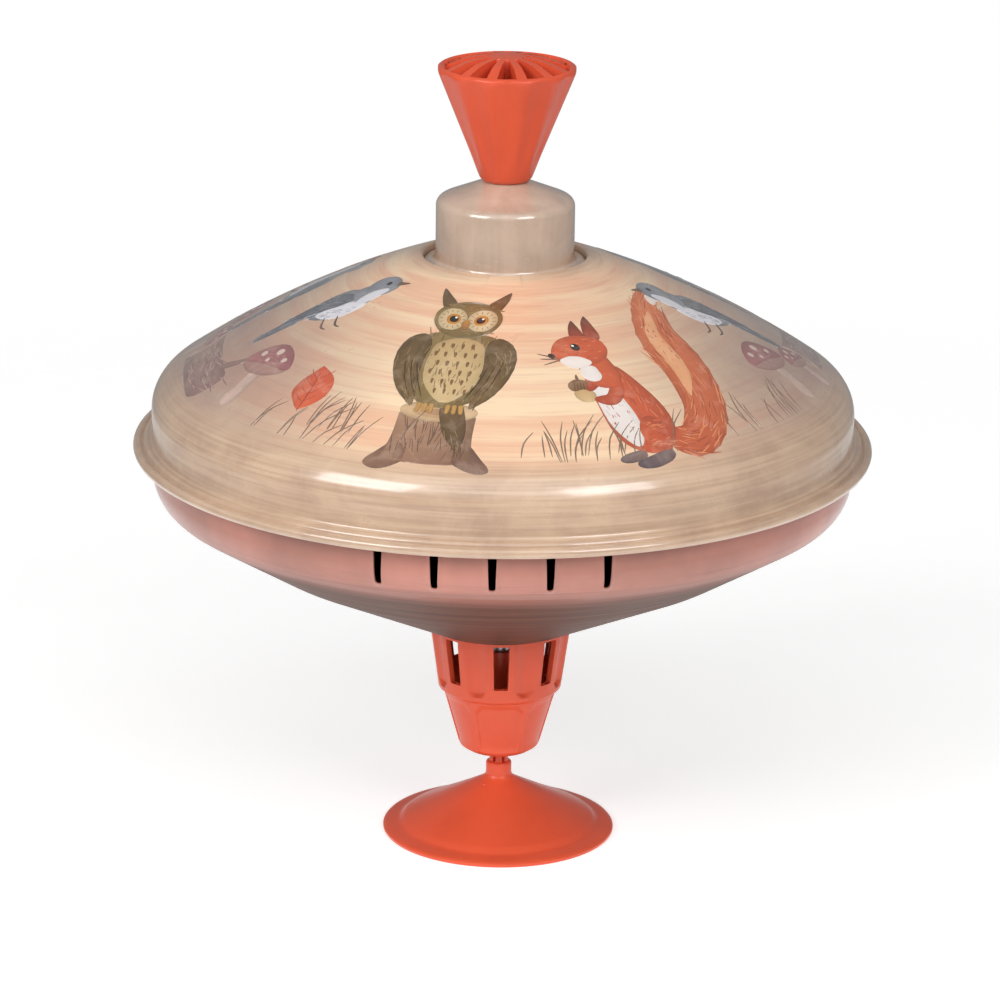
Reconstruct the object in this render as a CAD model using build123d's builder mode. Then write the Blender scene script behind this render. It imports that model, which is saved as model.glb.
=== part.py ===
from build123d import *

import os
from math import cos, radians, sin, sqrt, tan

os.makedirs("parts", exist_ok=True)

# A pump-action humming top, in millimetres.
# The origin is the middle of the foot's resting face, and +Z runs up the axis of spin.

# Driving dimensions of the tin body
RIM_R = 95.0  # outermost radius of the rolled rim
RIM_Z = 106.0  # height of the seam in the rim
TIN = 0.45  # thickness of the tin sheet
WALL_R = 90.2  # radius of the upright wall
BEAD_R = 1.35  # outer radius of the rolled bead
LOWER_KNUCKLE = 9.0  # bend between the lower cone and the wall
UPPER_KNUCKLE = 10.0  # bend between the wall and the dome
DOME_R = 268.0  # radius of the dome's long arc
DOME_Z = 115.5  # where the wall ends and the bend begins
DOME_ANGLE = 55.6  # elevation of the surface normal where the bend meets the dome

# Driving dimensions of the neck, knob and rod
NECK_R = 17.7  # radius of the neck cap
NECK_FLANGE_R = 20.25
SEAT_Z = 153.6  # ledge that the neck cap sits on
KNOB_Z = 175.4  # underside of the knob when it is fully down
KNOB_R = 17.75
KNOB_RIM_Z = 204.8
KNOB_TOP_Z = 207.5
ROD_WIDE = 5.0
ROD_THICK = 1.2
ROD_LEAD = 60.0  # height of one full turn of the rod
ROD_LOW = 28.0
ROD_HIGH = 186.5
PIN_Z = 181.0  # cross pin in the knob
FERRULE_R = 3.3

# Driving dimensions of the cage and foot
CAGE_LOW = 22.0
CAGE_NECK_R = 18.1
CAGE_FLANGE_Z = 59.9
CAGE_FLANGE_R = 24.2
WINDOWS = 8
WINDOW_LOW = 43.6
WINDOW_WIDE = 4.0
WINDOW_ANGLE = 1.6  # the windows stand a little round from the front
FOOT_R = 30.3
STEM_R = 3.35
STEM_TOP = 18.6
PIN_R = 1.0
PIN_LOW = 6.5
PIN_TOP = 24.9

# Slots for the air in the lower shell
SLOT_GROUPS = 3
SLOTS_IN_GROUP = 5
SLOT_PITCH = 9.0  # degrees
SLOT_MIDDLE = -1.36  # the first group's middle slot, degrees from the front
SLOT_LOW = 94.9
SLOT_HIGH = 104.3
SLOT_WIDE = 1.8

# Guide tube and clutch
SLEEVE_R = 5.4
SLEEVE_BORE = 3.4
SLEEVE_TOP = 50.0
TUBE_LOW = 46.0
TUBE_TOP = 147.0
TUBE_OUT = 4.1
TUBE_IN = 3.6
HOUSING_R = 12.4
HOUSING_LOW = 144.5
HOUSING_TOP = 165.0
NUT_R = 9.7
NUT_LOW = 150.0
NUT_TOP = 163.2
PLATE_THICK = 1.2
# Smaller sizes
CAP_TIN = 0.6
NECK_SHOULDER_Z = 170.05  # where the neck's wall would meet its cone
NECK_SLOPE = tan(radians(22.2))
HEM_R = 18.6  # middle of the sheet in the hem round the cage
LEDGE_R = 16.3
LIP_R = 20.9  # middle of the sheet in the lip round the neck cap
LIP_JOIN_R = 26.0
FINGERS = 6
FINGER_TOP = 20.9
CUP_R = 2.6
CUP_TOP = 26.0
CAGE_TOP = CAGE_FLANGE_Z + 1.6
WINDOW_HIGH = 56.0
BOSS_LOW = 57.0
SCREWS = 4
SCREW_AT = 14.2
SCREW_R = 1.1
TABS = 4
TAB_AT = 19.0
TAB_DROP = 1.4
BUSH_R = 4.9
BUSH_BORE = 3.1
LID_THICK = 1.2
REEDS = 4
REED_AT = 12.5
REED_ROOT = 19.0
REED_PLATE = 0.8
REED_THICK = 0.3
RIVET_R = 0.6
HOUSING_FLANGE_R = 16.6
PLATE_R = 7.8
NUT_RIVET_AT = 5.6
CROSS_PIN_R = 0.9
STOP_LOW = 34.0
RIBS = 12
CROWN_R = 15.6  # where the knob's rim meets its crowned ribs
POCKET_LOW = 188.0
GAP = 0.05  # between pieces that sit on each other in one body


def turn_at(height):
    """Angle of the rod's wide side at a height, zero at the cross pin."""
    return (height - PIN_Z) * 360 / ROD_LEAD


rod_reach = sqrt((ROD_WIDE / 2) ** 2 + (ROD_THICK / 2) ** 2)  # radius of the rod's corners
slot_angle = turn_at(NUT_TOP - PLATE_THICK / 2)


def around(radius, degrees):
    """The point at a radius and an angle from the front, which is -Y."""
    return (radius * sin(radians(degrees)), -radius * cos(radians(degrees)))


def side_plane(degrees, radius, height):
    """A plane that faces outwards at an angle from the front, with its own Y up."""
    x, y = around(1, degrees)
    return Plane(origin=(radius * x, radius * y, height), x_dir=(-y, x, 0), z_dir=(x, y, 0))


def dome_height(radius):
    """Height of the middle of the dome's sheet, and its slope there, from the arc tangent to the bend."""
    knuckle_r = WALL_R - UPPER_KNUCKLE
    inset = DOME_R - UPPER_KNUCKLE
    centre_r = knuckle_r - inset * cos(radians(DOME_ANGLE))
    centre_z = DOME_Z - inset * sin(radians(DOME_ANGLE))
    reach = sqrt((DOME_R - TIN / 2) ** 2 - (radius - centre_r) ** 2)
    return centre_z + reach, (radius - centre_r) / reach


def finish(piece, name):
    """Labels a finished piece and writes it."""
    piece.part.label = name
    export_step(piece.part, f"parts/{name}.step")


# ---------------------------------------------------------------- foot, which stands still

with BuildPart() as foot_disc:
    with BuildSketch(Plane.XZ):
        with BuildLine():
            Polyline((28.0, 0), (FOOT_R, 0), (FOOT_R, 0.9), (29.2, 1.8))
            ThreePointArc((29.2, 1.8), (15.4, 8.0), (4.3, 13.8))
            Polyline((4.3, 13.8), (STEM_R, 14.8), (STEM_R, STEM_TOP - 0.5), (STEM_R - 0.5, STEM_TOP))
            Polyline((STEM_R - 0.5, STEM_TOP), (2.55, STEM_TOP), (2.3, FINGER_TOP), (PIN_R, FINGER_TOP))
            Polyline((PIN_R, FINGER_TOP), (PIN_R, PIN_LOW), (0, PIN_LOW), (0, 5.0), (3.4, 5.0), (3.8, 11.6))
            ThreePointArc((3.8, 11.6), (15.0, 6.4), (27.2, 1.0))
            Line((27.2, 1.0), (28.0, 0))
        make_face()
    revolve(axis=Axis.Z)
    # saw cuts that part the stem's top into gripping fingers
    with BuildSketch(Plane.XY.offset(STEM_TOP)):
        with PolarLocations(2.2, FINGERS, start_angle=30):
            Rectangle(2.4, 0.7)
    extrude(amount=FINGER_TOP - STEM_TOP, mode=Mode.SUBTRACT)
finish(foot_disc, "foot_disc")

with BuildPart() as pivot_pin:
    with BuildSketch(Plane.XY.offset(PIN_LOW)):
        Circle(PIN_R)
    extrude(amount=PIN_TOP - PIN_LOW)
    fillet(pivot_pin.edges().group_by(Axis.Z)[-1], 0.6)
finish(pivot_pin, "pivot_pin")

# ---------------------------------------------------------------- cage, which spins on the pin

with BuildPart() as air_cage:
    with BuildSketch(Plane.XZ):
        with BuildLine():
            Line((CUP_R, CAGE_LOW), (8.3, CAGE_LOW))
            edge = JernArc((8.3, CAGE_LOW), (1, 0), 2.3, 73)
            Polyline(edge @ 1, (14.75, 39.0), (16.05, 39.9), (CAGE_NECK_R, 54.5))
            Line((CAGE_NECK_R, 54.5), (CAGE_NECK_R, CAGE_FLANGE_Z))
            Polyline(
                (CAGE_NECK_R, CAGE_FLANGE_Z),
                (CAGE_FLANGE_R, CAGE_FLANGE_Z),
                (CAGE_FLANGE_R, CAGE_TOP),
                (16.5, CAGE_TOP),
                (16.5, 54.5),
                (14.5, 40.6),
                (13.1, 38.9),
                (8.9, 25.2),
                (SLEEVE_R + 0.3, 25.2),
                (SLEEVE_R, SLEEVE_TOP),
                (TUBE_OUT + GAP, SLEEVE_TOP),
                (TUBE_OUT + GAP, TUBE_LOW),
                (SLEEVE_BORE, TUBE_LOW),
                (SLEEVE_BORE, 27.2),
                (0, 27.2),
                (0, CUP_TOP),
                (CUP_R, CUP_TOP),
                (CUP_R, CAGE_LOW),
            )
        make_face()
    revolve(axis=Axis.Z)
    # bosses for the plate's screws, joined to the inside of the wall, and their holes
    with BuildSketch(Plane.XY.offset(BOSS_LOW)):
        with PolarLocations(SCREW_AT, SCREWS, start_angle=45):
            Circle(2.5)
    extrude(amount=CAGE_TOP - BOSS_LOW)
    with BuildSketch(Plane.XY.offset(CAGE_TOP)):
        with PolarLocations(SCREW_AT, SCREWS, start_angle=45):
            Circle(SCREW_R)
    extrude(amount=-4, mode=Mode.SUBTRACT)
    for number in range(WINDOWS):
        with BuildSketch(side_plane(WINDOW_ANGLE + number * 360 / WINDOWS, 11, WINDOW_LOW)):
            Rectangle(WINDOW_WIDE, WINDOW_HIGH - WINDOW_LOW, align=(Align.CENTER, Align.MIN))
        extrude(amount=12, mode=Mode.SUBTRACT)
finish(air_cage, "air_cage")

with BuildPart() as pivot_cup:
    with BuildSketch(Plane.XY.offset(CAGE_LOW + 0.2)):
        Circle(CUP_R)
        Circle(PIN_R + 0.08, mode=Mode.SUBTRACT)
    extrude(amount=PIN_TOP + 0.1 - CAGE_LOW - 0.2)
    with BuildSketch(Plane.XY.offset(PIN_TOP + 0.1)):
        Circle(CUP_R)
    extrude(amount=CUP_TOP - PIN_TOP - 0.1)
finish(pivot_cup, "pivot_cup")

# ---------------------------------------------------------------- tin shells

with BuildPart() as lower_shell:
    with BuildSketch(Plane.XZ):
        with BuildLine():
            # the middle of the sheet: turned-up hem round the cage, two cones, wall, and the flange inside the rim
            FilletPolyline(
                (HEM_R, 58.6),
                (HEM_R, 56.95),
                (62.0, 77.2),
                (WALL_R - 0.425, 93.96),
                (WALL_R - 0.425, RIM_Z),
                (RIM_R - 0.9, RIM_Z),
                radius=[0.5, 30.0, LOWER_KNUCKLE - TIN / 2, 1.2],
            )
        trace(line_width=TIN)
    revolve(axis=Axis.Z)
    for group in range(SLOT_GROUPS):
        for slot in range(SLOTS_IN_GROUP):
            turn = SLOT_MIDDLE + group * 360 / SLOT_GROUPS + (slot - (SLOTS_IN_GROUP - 1) / 2) * SLOT_PITCH
            with BuildSketch(side_plane(turn, 80, (SLOT_LOW + SLOT_HIGH) / 2)):
                SlotOverall(SLOT_HIGH - SLOT_LOW, SLOT_WIDE, rotation=90)
            extrude(amount=12, mode=Mode.SUBTRACT)
finish(lower_shell, "lower_shell")

knuckle_centre = WALL_R - UPPER_KNUCKLE
dome_start_r = knuckle_centre + (UPPER_KNUCKLE - TIN / 2) * cos(radians(DOME_ANGLE))
dome_start_z = DOME_Z + (UPPER_KNUCKLE - TIN / 2) * sin(radians(DOME_ANGLE))
lip_z, lip_slope = dome_height(LIP_JOIN_R)
bead = BEAD_R - TIN / 2
groove = 0.375
ridge = 0.925
cove = 1.225
# widths of the arcs from the wall out to the bead's middle, to place the bead under RIM_R
step = (bead + groove) * cos(radians(45))
flange_run = RIM_R - BEAD_R - step - groove - ridge - cove - (WALL_R - TIN / 2)
cove_z = RIM_Z + step + ridge + cove

with BuildPart() as upper_shell:
    with BuildSketch(Plane.XZ):
        with BuildLine():
            # the middle of the sheet: ledge, lip, dome, bend, wall, cove, ridge, groove and rolled bead
            FilletPolyline(
                (LEDGE_R, SEAT_Z),
                (LIP_R, SEAT_Z),
                (LIP_R, lip_z + (LIP_JOIN_R - LIP_R) * lip_slope),
                (LIP_JOIN_R, lip_z),
                radius=[0.5, 0.7],
            )
            RadiusArc((LIP_JOIN_R, lip_z), (dome_start_r, dome_start_z), DOME_R - TIN / 2)
            RadiusArc((dome_start_r, dome_start_z), (WALL_R - TIN / 2, DOME_Z), UPPER_KNUCKLE - TIN / 2)
            Line((WALL_R - TIN / 2, DOME_Z), (WALL_R - TIN / 2, cove_z))
            cove_arc = JernArc((WALL_R - TIN / 2, cove_z), (0, -1), cove, 90)
            run = Line(cove_arc @ 1, (cove_arc @ 1) + (flange_run, 0))
            ridge_arc = JernArc(run @ 1, (1, 0), ridge, -90)
            groove_arc = JernArc(ridge_arc @ 1, (0, -1), groove, 135)
            JernArc(groove_arc @ 1, groove_arc % 1, bead, -285)
        trace(line_width=TIN)
    revolve(axis=Axis.Z)
    # slots in the ledge for the cap's tabs, and the notch for its key
    with BuildSketch(Plane.XY.offset(SEAT_Z - 1)):
        with PolarLocations(TAB_AT, TABS, start_angle=45):
            Rectangle(0.9, 3.6)
    extrude(amount=2, mode=Mode.SUBTRACT)
    with BuildSketch(Plane.XY.offset(SEAT_Z + TIN / 2 + GAP / 2)):
        with Locations(around(LIP_R, 0)):
            Rectangle(7.2, 2.4)
    extrude(amount=4, mode=Mode.SUBTRACT)
finish(upper_shell, "upper_shell")

# ---------------------------------------------------------------- neck cap and bush

flange_low = SEAT_Z + TIN / 2 + GAP

with BuildPart() as neck_cap:
    with BuildSketch(Plane.XZ):
        with BuildLine():
            FilletPolyline(
                (NECK_FLANGE_R, flange_low + CAP_TIN / 2),
                (NECK_R - CAP_TIN / 2, flange_low + CAP_TIN / 2),
                (NECK_R - CAP_TIN / 2, NECK_SHOULDER_Z),
                (BUSH_R + 0.1, NECK_SHOULDER_Z + (NECK_R - CAP_TIN / 2 - BUSH_R - 0.1) * NECK_SLOPE),
                radius=[1.5, 2.0],
            )
        trace(line_width=CAP_TIN)
    revolve(axis=Axis.Z)
    # key at the front, and tabs that are bent over under the ledge
    with BuildSketch(Plane.XY.offset(flange_low)):
        with Locations(around(LIP_R - 0.6, 0)):
            Rectangle(6.6, 1.4)
    extrude(amount=CAP_TIN)
    with BuildSketch(Plane.XY.offset(flange_low)):
        with PolarLocations(TAB_AT, TABS, start_angle=45):
            Rectangle(0.5, 3.0)
    extrude(amount=-TAB_DROP)
    with BuildSketch(Plane.XY.offset(flange_low - TAB_DROP)):
        with PolarLocations(TAB_AT - 1.0, TABS, start_angle=45):
            Rectangle(2.5, 3.0)
    extrude(amount=0.5)
finish(neck_cap, "neck_cap")

with BuildPart() as rod_bush:
    with BuildSketch(Plane.XY.offset(HOUSING_TOP + LID_THICK + 0.1)):
        Circle(7.0)
        Circle(BUSH_BORE, mode=Mode.SUBTRACT)
    extrude(amount=5.0)
    with BuildSketch(Plane.XY.offset(HOUSING_TOP + LID_THICK + 5.1)):
        Circle(BUSH_R)
        Circle(BUSH_BORE, mode=Mode.SUBTRACT)
    extrude(amount=KNOB_Z - 0.3 - HOUSING_TOP - LID_THICK - 5.1)
finish(rod_bush, "rod_bush")

# ---------------------------------------------------------------- reed plate over the cage

plate_low = CAGE_TOP + GAP

with BuildPart() as reed_plate:
    with BuildSketch(Plane.XY.offset(plate_low)):
        Circle(23.4)
        Circle(TUBE_OUT + 0.2, mode=Mode.SUBTRACT)
        with PolarLocations(REED_AT, REEDS):
            Rectangle(9.0, 2.8, mode=Mode.SUBTRACT)
        with PolarLocations(REED_ROOT, REEDS):
            Circle(RIVET_R, mode=Mode.SUBTRACT)
        with PolarLocations(SCREW_AT, SCREWS, start_angle=45):
            Circle(SCREW_R + 0.1, mode=Mode.SUBTRACT)
    extrude(amount=REED_PLATE)
finish(reed_plate, "reed_plate")

reed_low = plate_low + REED_PLATE + 0.02

with BuildPart() as reeds:
    with BuildSketch(Plane.XY.offset(reed_low)):
        with PolarLocations(REED_AT + 1.2, REEDS):
            Rectangle(11.4, 2.2)
        with PolarLocations(REED_ROOT, REEDS):
            Circle(RIVET_R, mode=Mode.SUBTRACT)
    extrude(amount=REED_THICK)
finish(reeds, "reeds")

with BuildPart() as reed_rivets:
    with BuildSketch(Plane.XY.offset(plate_low + 0.02)):
        with PolarLocations(REED_ROOT, REEDS):
            Circle(RIVET_R - 0.02)
    extrude(amount=REED_PLATE + REED_THICK + 0.02)
    with BuildSketch(Plane.XY.offset(reed_low + REED_THICK + 0.02)):
        with PolarLocations(REED_ROOT, REEDS):
            Circle(1.3)
    extrude(amount=0.6, taper=25)
finish(reed_rivets, "reed_rivets")

with BuildPart() as plate_screws:
    with BuildSketch(Plane.XY.offset(CAGE_TOP - 3.6)):
        with PolarLocations(SCREW_AT, SCREWS, start_angle=45):
            Circle(SCREW_R - 0.05)
    extrude(amount=3.6 + GAP + REED_PLATE)
    with BuildSketch(Plane.XY.offset(plate_low + REED_PLATE)):
        with PolarLocations(SCREW_AT, SCREWS, start_angle=45):
            Circle(2.0)
    extrude(amount=1.1)
    with BuildSketch(Plane.XY.offset(plate_low + REED_PLATE + 1.1)):
        with PolarLocations(SCREW_AT, SCREWS, start_angle=45):
            Rectangle(2.6, 0.5)
            Rectangle(0.5, 2.6)
    extrude(amount=-0.6, mode=Mode.SUBTRACT)
finish(plate_screws, "plate_screws")

# ---------------------------------------------------------------- guide tube and clutch

with BuildPart() as guide_tube:
    with BuildSketch(Plane.XY.offset(TUBE_LOW + GAP)):
        Circle(TUBE_OUT)
        Circle(TUBE_IN, mode=Mode.SUBTRACT)
    extrude(amount=TUBE_TOP - TUBE_LOW - GAP)
finish(guide_tube, "guide_tube")

with BuildPart() as clutch_housing:
    with BuildSketch(Plane.XZ):
        with BuildLine():
            Polyline(
                (TUBE_OUT + GAP, HOUSING_LOW),
                (6.4, HOUSING_LOW),
                (7.2, 148.0),
                (HOUSING_R, 154.0),
                (HOUSING_FLANGE_R, 154.0),
                (HOUSING_FLANGE_R, 155.2),
                (HOUSING_R, 155.6),
                (HOUSING_R, HOUSING_TOP),
                (NUT_R + 0.5, HOUSING_TOP),
                (NUT_R + 0.5, 154.0),
                (6.2, 149.2),
                (TUBE_IN, 149.2),
                (TUBE_IN, TUBE_TOP + GAP),
                (TUBE_OUT + GAP, TUBE_TOP + GAP),
                (TUBE_OUT + GAP, HOUSING_LOW),
            )
        make_face()
    revolve(axis=Axis.Z)
finish(clutch_housing, "clutch_housing")

with BuildPart() as clutch_lid:
    with BuildSketch(Plane.XY.offset(HOUSING_TOP + GAP)):
        Circle(HOUSING_R)
        Circle(TUBE_IN, mode=Mode.SUBTRACT)
    extrude(amount=LID_THICK)
finish(clutch_lid, "clutch_lid")

with BuildPart() as drive_nut:
    with BuildSketch(Plane.XZ):
        with BuildLine():
            Polyline(
                (TUBE_IN, NUT_LOW),
                (6.4, NUT_LOW),
                (NUT_R, 154.3),
                (NUT_R, NUT_TOP - 0.6),
                (NUT_R - 0.6, NUT_TOP),
                (PLATE_R, NUT_TOP),
                (PLATE_R, NUT_TOP - PLATE_THICK),
                (TUBE_IN, NUT_TOP - PLATE_THICK),
                (TUBE_IN, NUT_LOW),
            )
        make_face()
    revolve(axis=Axis.Z)
    with BuildSketch(Plane.XY.offset(NUT_TOP - PLATE_THICK)):
        with PolarLocations(NUT_RIVET_AT, 2, start_angle=slot_angle + 90):
            Circle(0.8)
    extrude(amount=-5, mode=Mode.SUBTRACT)
finish(drive_nut, "drive_nut")

with BuildPart() as drive_plate:
    with BuildSketch(Plane.XY.offset(NUT_TOP - PLATE_THICK)):
        Circle(PLATE_R - 0.03)
        Rectangle(ROD_WIDE + 0.7, ROD_THICK + 0.75, rotation=slot_angle, mode=Mode.SUBTRACT)
        with PolarLocations(NUT_RIVET_AT, 2, start_angle=slot_angle + 90):
            Circle(0.8, mode=Mode.SUBTRACT)
    extrude(amount=PLATE_THICK)
finish(drive_plate, "drive_plate")

with BuildPart() as nut_rivets:
    with BuildSketch(Plane.XY.offset(NUT_TOP)):
        with PolarLocations(NUT_RIVET_AT, 2, start_angle=slot_angle + 90):
            Circle(0.78)
    extrude(amount=-(PLATE_THICK + 4.8))
    with BuildSketch(Plane.XY.offset(NUT_TOP + 0.02)):
        with PolarLocations(NUT_RIVET_AT, 2, start_angle=slot_angle + 90):
            Circle(1.4)
    extrude(amount=0.7, taper=25)
finish(nut_rivets, "nut_rivets")

# ---------------------------------------------------------------- knob and rod, which slide

strip = Location((0, 0, ROD_LOW), (0, 0, turn_at(ROD_LOW))) * Rectangle(ROD_WIDE, ROD_THICK)
twisted = Solid.extrude_linear_with_rotation(
    strip.face(), (0, 0, ROD_LOW), (0, 0, ROD_HIGH - ROD_LOW), turn_at(ROD_HIGH) - turn_at(ROD_LOW)
)

with BuildPart() as drive_rod:
    add(twisted)
    with BuildSketch(Plane.XZ.offset(-5)):
        with Locations((0, PIN_Z)):
            Circle(CROSS_PIN_R)
    extrude(amount=10, mode=Mode.SUBTRACT)
finish(drive_rod, "drive_rod")

with BuildPart() as rod_stop:
    with BuildSketch(Plane.XY.offset(STOP_LOW)):
        Circle(3.1)
        Circle(rod_reach + 0.02, mode=Mode.SUBTRACT)
    extrude(amount=3.0)
finish(rod_stop, "rod_stop")

with BuildPart() as knob_ferrule:
    with BuildSketch(Plane.XY.offset(KNOB_Z + 0.2)):
        Circle(FERRULE_R)
        Circle(rod_reach + 0.02, mode=Mode.SUBTRACT)
    extrude(amount=ROD_HIGH - KNOB_Z - 0.2)
    with BuildSketch(Plane.XZ.offset(-5)):
        with Locations((0, PIN_Z)):
            Circle(CROSS_PIN_R)
    extrude(amount=10, mode=Mode.SUBTRACT)
finish(knob_ferrule, "knob_ferrule")

with BuildPart() as knob_pin:
    with BuildSketch(Plane.XZ.offset(-4.5)):
        with Locations((0, PIN_Z)):
            Circle(CROSS_PIN_R - 0.02)
    extrude(amount=9)
finish(knob_pin, "knob_pin")

# radius of the sphere, centred on the axis, that crowns the ribs
crown_rise = KNOB_TOP_Z - KNOB_RIM_Z
crown_sphere = (CROWN_R**2 + crown_rise**2) / (2 * crown_rise)

# the tapered pocket between two ribs, cut out of the knob in every gap
with BuildPart() as pocket:
    with BuildSketch(Plane.XY.offset(POCKET_LOW)):
        Polygon((5.2, -0.5), (8.9, -1.2), (8.9, 1.2), (5.2, 0.5), align=None)
    with BuildSketch(Plane.XY.offset(KNOB_TOP_Z + 1)):
        Polygon((4.7, -0.45), (17.2, -3.1), (17.2, 3.1), (4.7, 0.45), align=None)
    loft()

with BuildPart() as knob:
    with BuildSketch(Plane.XZ):
        with BuildLine():
            Polyline((FERRULE_R + 0.02, KNOB_Z), (6.0, KNOB_Z), (6.7, KNOB_Z + 0.6), (17.1, 202.2))
            ThreePointArc((17.1, 202.2), (KNOB_R, 203.7), (16.9, KNOB_RIM_Z))
            Line((16.9, KNOB_RIM_Z), (CROWN_R, KNOB_RIM_Z))
            RadiusArc((CROWN_R, KNOB_RIM_Z), (0, KNOB_TOP_Z), -crown_sphere)
            Polyline((0, KNOB_TOP_Z), (0, ROD_HIGH + 0.1), (FERRULE_R + 0.02, ROD_HIGH + 0.1))
            Line((FERRULE_R + 0.02, ROD_HIGH + 0.1), (FERRULE_R + 0.02, KNOB_Z))
        make_face()
    revolve(axis=Axis.Z)
    with PolarLocations(0, RIBS):
        add(pocket.part, mode=Mode.SUBTRACT)
    with BuildSketch(Plane.XZ.offset(-4.6)):
        with Locations((0, PIN_Z)):
            Circle(CROSS_PIN_R)
    extrude(amount=9.2, mode=Mode.SUBTRACT)
finish(knob, "knob")
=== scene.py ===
"""A pump-action humming top of printed tin and moulded plastic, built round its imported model."""

import math

import bmesh
import bpy
import numpy as np
from mathutils import Matrix, Vector


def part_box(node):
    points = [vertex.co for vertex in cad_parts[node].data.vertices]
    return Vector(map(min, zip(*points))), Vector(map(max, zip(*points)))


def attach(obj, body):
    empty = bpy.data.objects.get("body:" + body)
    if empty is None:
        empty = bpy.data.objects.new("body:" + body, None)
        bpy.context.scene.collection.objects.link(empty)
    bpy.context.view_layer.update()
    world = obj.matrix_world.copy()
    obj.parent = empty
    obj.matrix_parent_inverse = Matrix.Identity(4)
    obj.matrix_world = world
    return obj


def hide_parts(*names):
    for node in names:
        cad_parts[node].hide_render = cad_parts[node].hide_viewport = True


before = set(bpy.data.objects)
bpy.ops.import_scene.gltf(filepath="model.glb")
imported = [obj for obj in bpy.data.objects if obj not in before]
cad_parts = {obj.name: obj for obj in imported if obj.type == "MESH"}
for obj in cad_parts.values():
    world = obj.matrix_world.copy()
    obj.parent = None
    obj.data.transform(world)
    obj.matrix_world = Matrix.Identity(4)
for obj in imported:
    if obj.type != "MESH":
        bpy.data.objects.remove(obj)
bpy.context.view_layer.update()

bl_info = {
    "name": "Humming Top",
    "version": (1, 0, 0),
    "blender": (4, 5, 0),
    "location": "View3D > Sidebar > Top",
    "description": "Builds the printed shells, moulded plastic and turned metal of a pump-action humming top",
    "category": "Add Mesh",
}

# ------------------------------ sizes in metres, the outer ones from the frame

MM = 0.001
TAU = math.tau

RIM_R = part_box("upper_shell")[1].x
TOP_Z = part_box("knob")[1].z
STEM_TOP_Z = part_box("foot_disc")[1].z
SEAM_Z = 106 * MM  # middle of the rolled bead
BEAD_R = 1.35 * MM
TIN = 0.45 * MM  # thickness of the sheet of both shells
LEDGE_R = 16.3 * MM  # hole in the ledge that the neck cap stands on
LIP_R = 20.9 * MM  # lip round the ledge
SEAT_Z = 153.6 * MM  # height of the ledge
KNUCKLE_R = 10 * MM  # bend between the dome and the upright wall
KNUCKLE_Z = 115.5 * MM
WALL_R = RIM_R - 4.8 * MM
BEND_R = WALL_R - KNUCKLE_R
DOME_R = 268 * MM  # radius of the dome's profile, not of its plan
DOME_TILT = math.radians(55.6)  # where dome and bend meet, up from level
DOME_CENTRE = (
    BEND_R - (DOME_R - KNUCKLE_R) * math.cos(DOME_TILT),
    KNUCKLE_Z - (DOME_R - KNUCKLE_R) * math.sin(DOME_TILT),
)
DOME_EDGE_R = DOME_CENTRE[0] + DOME_R * math.cos(DOME_TILT)
FLOOR_R = 0.56


# ------------------------------ outlines: (n, 2) arrays of radius and height


def arc(centre, radius, start, end, steps=12):
    """Points on a circle from one angle to another, in degrees."""
    angles = np.radians(np.linspace(start, end, steps))
    return np.stack([centre[0] + radius * np.cos(angles), centre[1] + radius * np.sin(angles)], 1)


def rounded(corners, radii, steps=8):
    """A polyline whose inner corners are arcs: each arc touches both runs at radius * tan(half the turn)."""
    corners = np.asarray(corners, float)
    pieces = [corners[:1]]
    for before, corner, after, radius in zip(corners, corners[1:], corners[2:], radii):
        into = (corner - before) / np.linalg.norm(corner - before)
        away = (after - corner) / np.linalg.norm(after - corner)
        turn = math.atan2(into[0] * away[1] - into[1] * away[0], into @ away)
        side = math.copysign(1.0, turn)
        start = corner - into * radius * math.tan(abs(turn) / 2)
        centre = start + side * radius * np.array([-into[1], into[0]])
        first = math.degrees(math.atan2(*(start - centre)[::-1]))
        pieces.append(arc(centre, radius, first, first + math.degrees(turn), steps))
    pieces.append(corners[-1:])
    return np.concatenate(pieces)


def thick(line, thickness, steps=5):
    """Closed outline of a sheet: the line moved half a thickness to each side, with half-round ends."""
    ahead = np.gradient(line, axis=0)
    ahead /= np.linalg.norm(ahead, axis=1)[:, None]
    aside = np.stack([-ahead[:, 1], ahead[:, 0]], 1) * thickness / 2
    ends = []
    for point, way in ((line[-1], ahead[-1]), (line[0], -ahead[0])):
        first = math.degrees(math.atan2(way[1], way[0])) + 90
        ends.append(arc(point, thickness / 2, first, first - 180, steps)[1:-1])
    return np.concatenate([line + aside, ends[0], (line - aside)[::-1], ends[1]])


def spaced(line, step):
    """The same line with points no further apart than a step."""
    gaps = np.linalg.norm(np.diff(line, axis=0), axis=1)
    counts = np.maximum(1, np.ceil(gaps / step).astype(int))
    pieces = [
        a + (b - a) * np.linspace(0, 1, count, endpoint=False)[:, None]
        for a, b, count in zip(line, line[1:], counts)
    ]
    return np.concatenate([*pieces, line[-1:]])


# ------------------------------ surfaces worked out as grids


def grid_faces(rows, columns, close_rows=False, close_columns=False):
    """Quads between neighbouring points of a grid, numbered row by row."""
    across = np.arange(rows if close_rows else rows - 1)
    along = np.arange(columns if close_columns else columns - 1)
    row, column = np.meshgrid(across, along, indexing="ij")
    below = (row + 1) % rows
    right = (column + 1) % columns
    start, beneath = row * columns, below * columns
    corners = [start + column, start + right, beneath + right, beneath + column]
    return np.stack(corners, -1).reshape(-1, 4)


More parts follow.
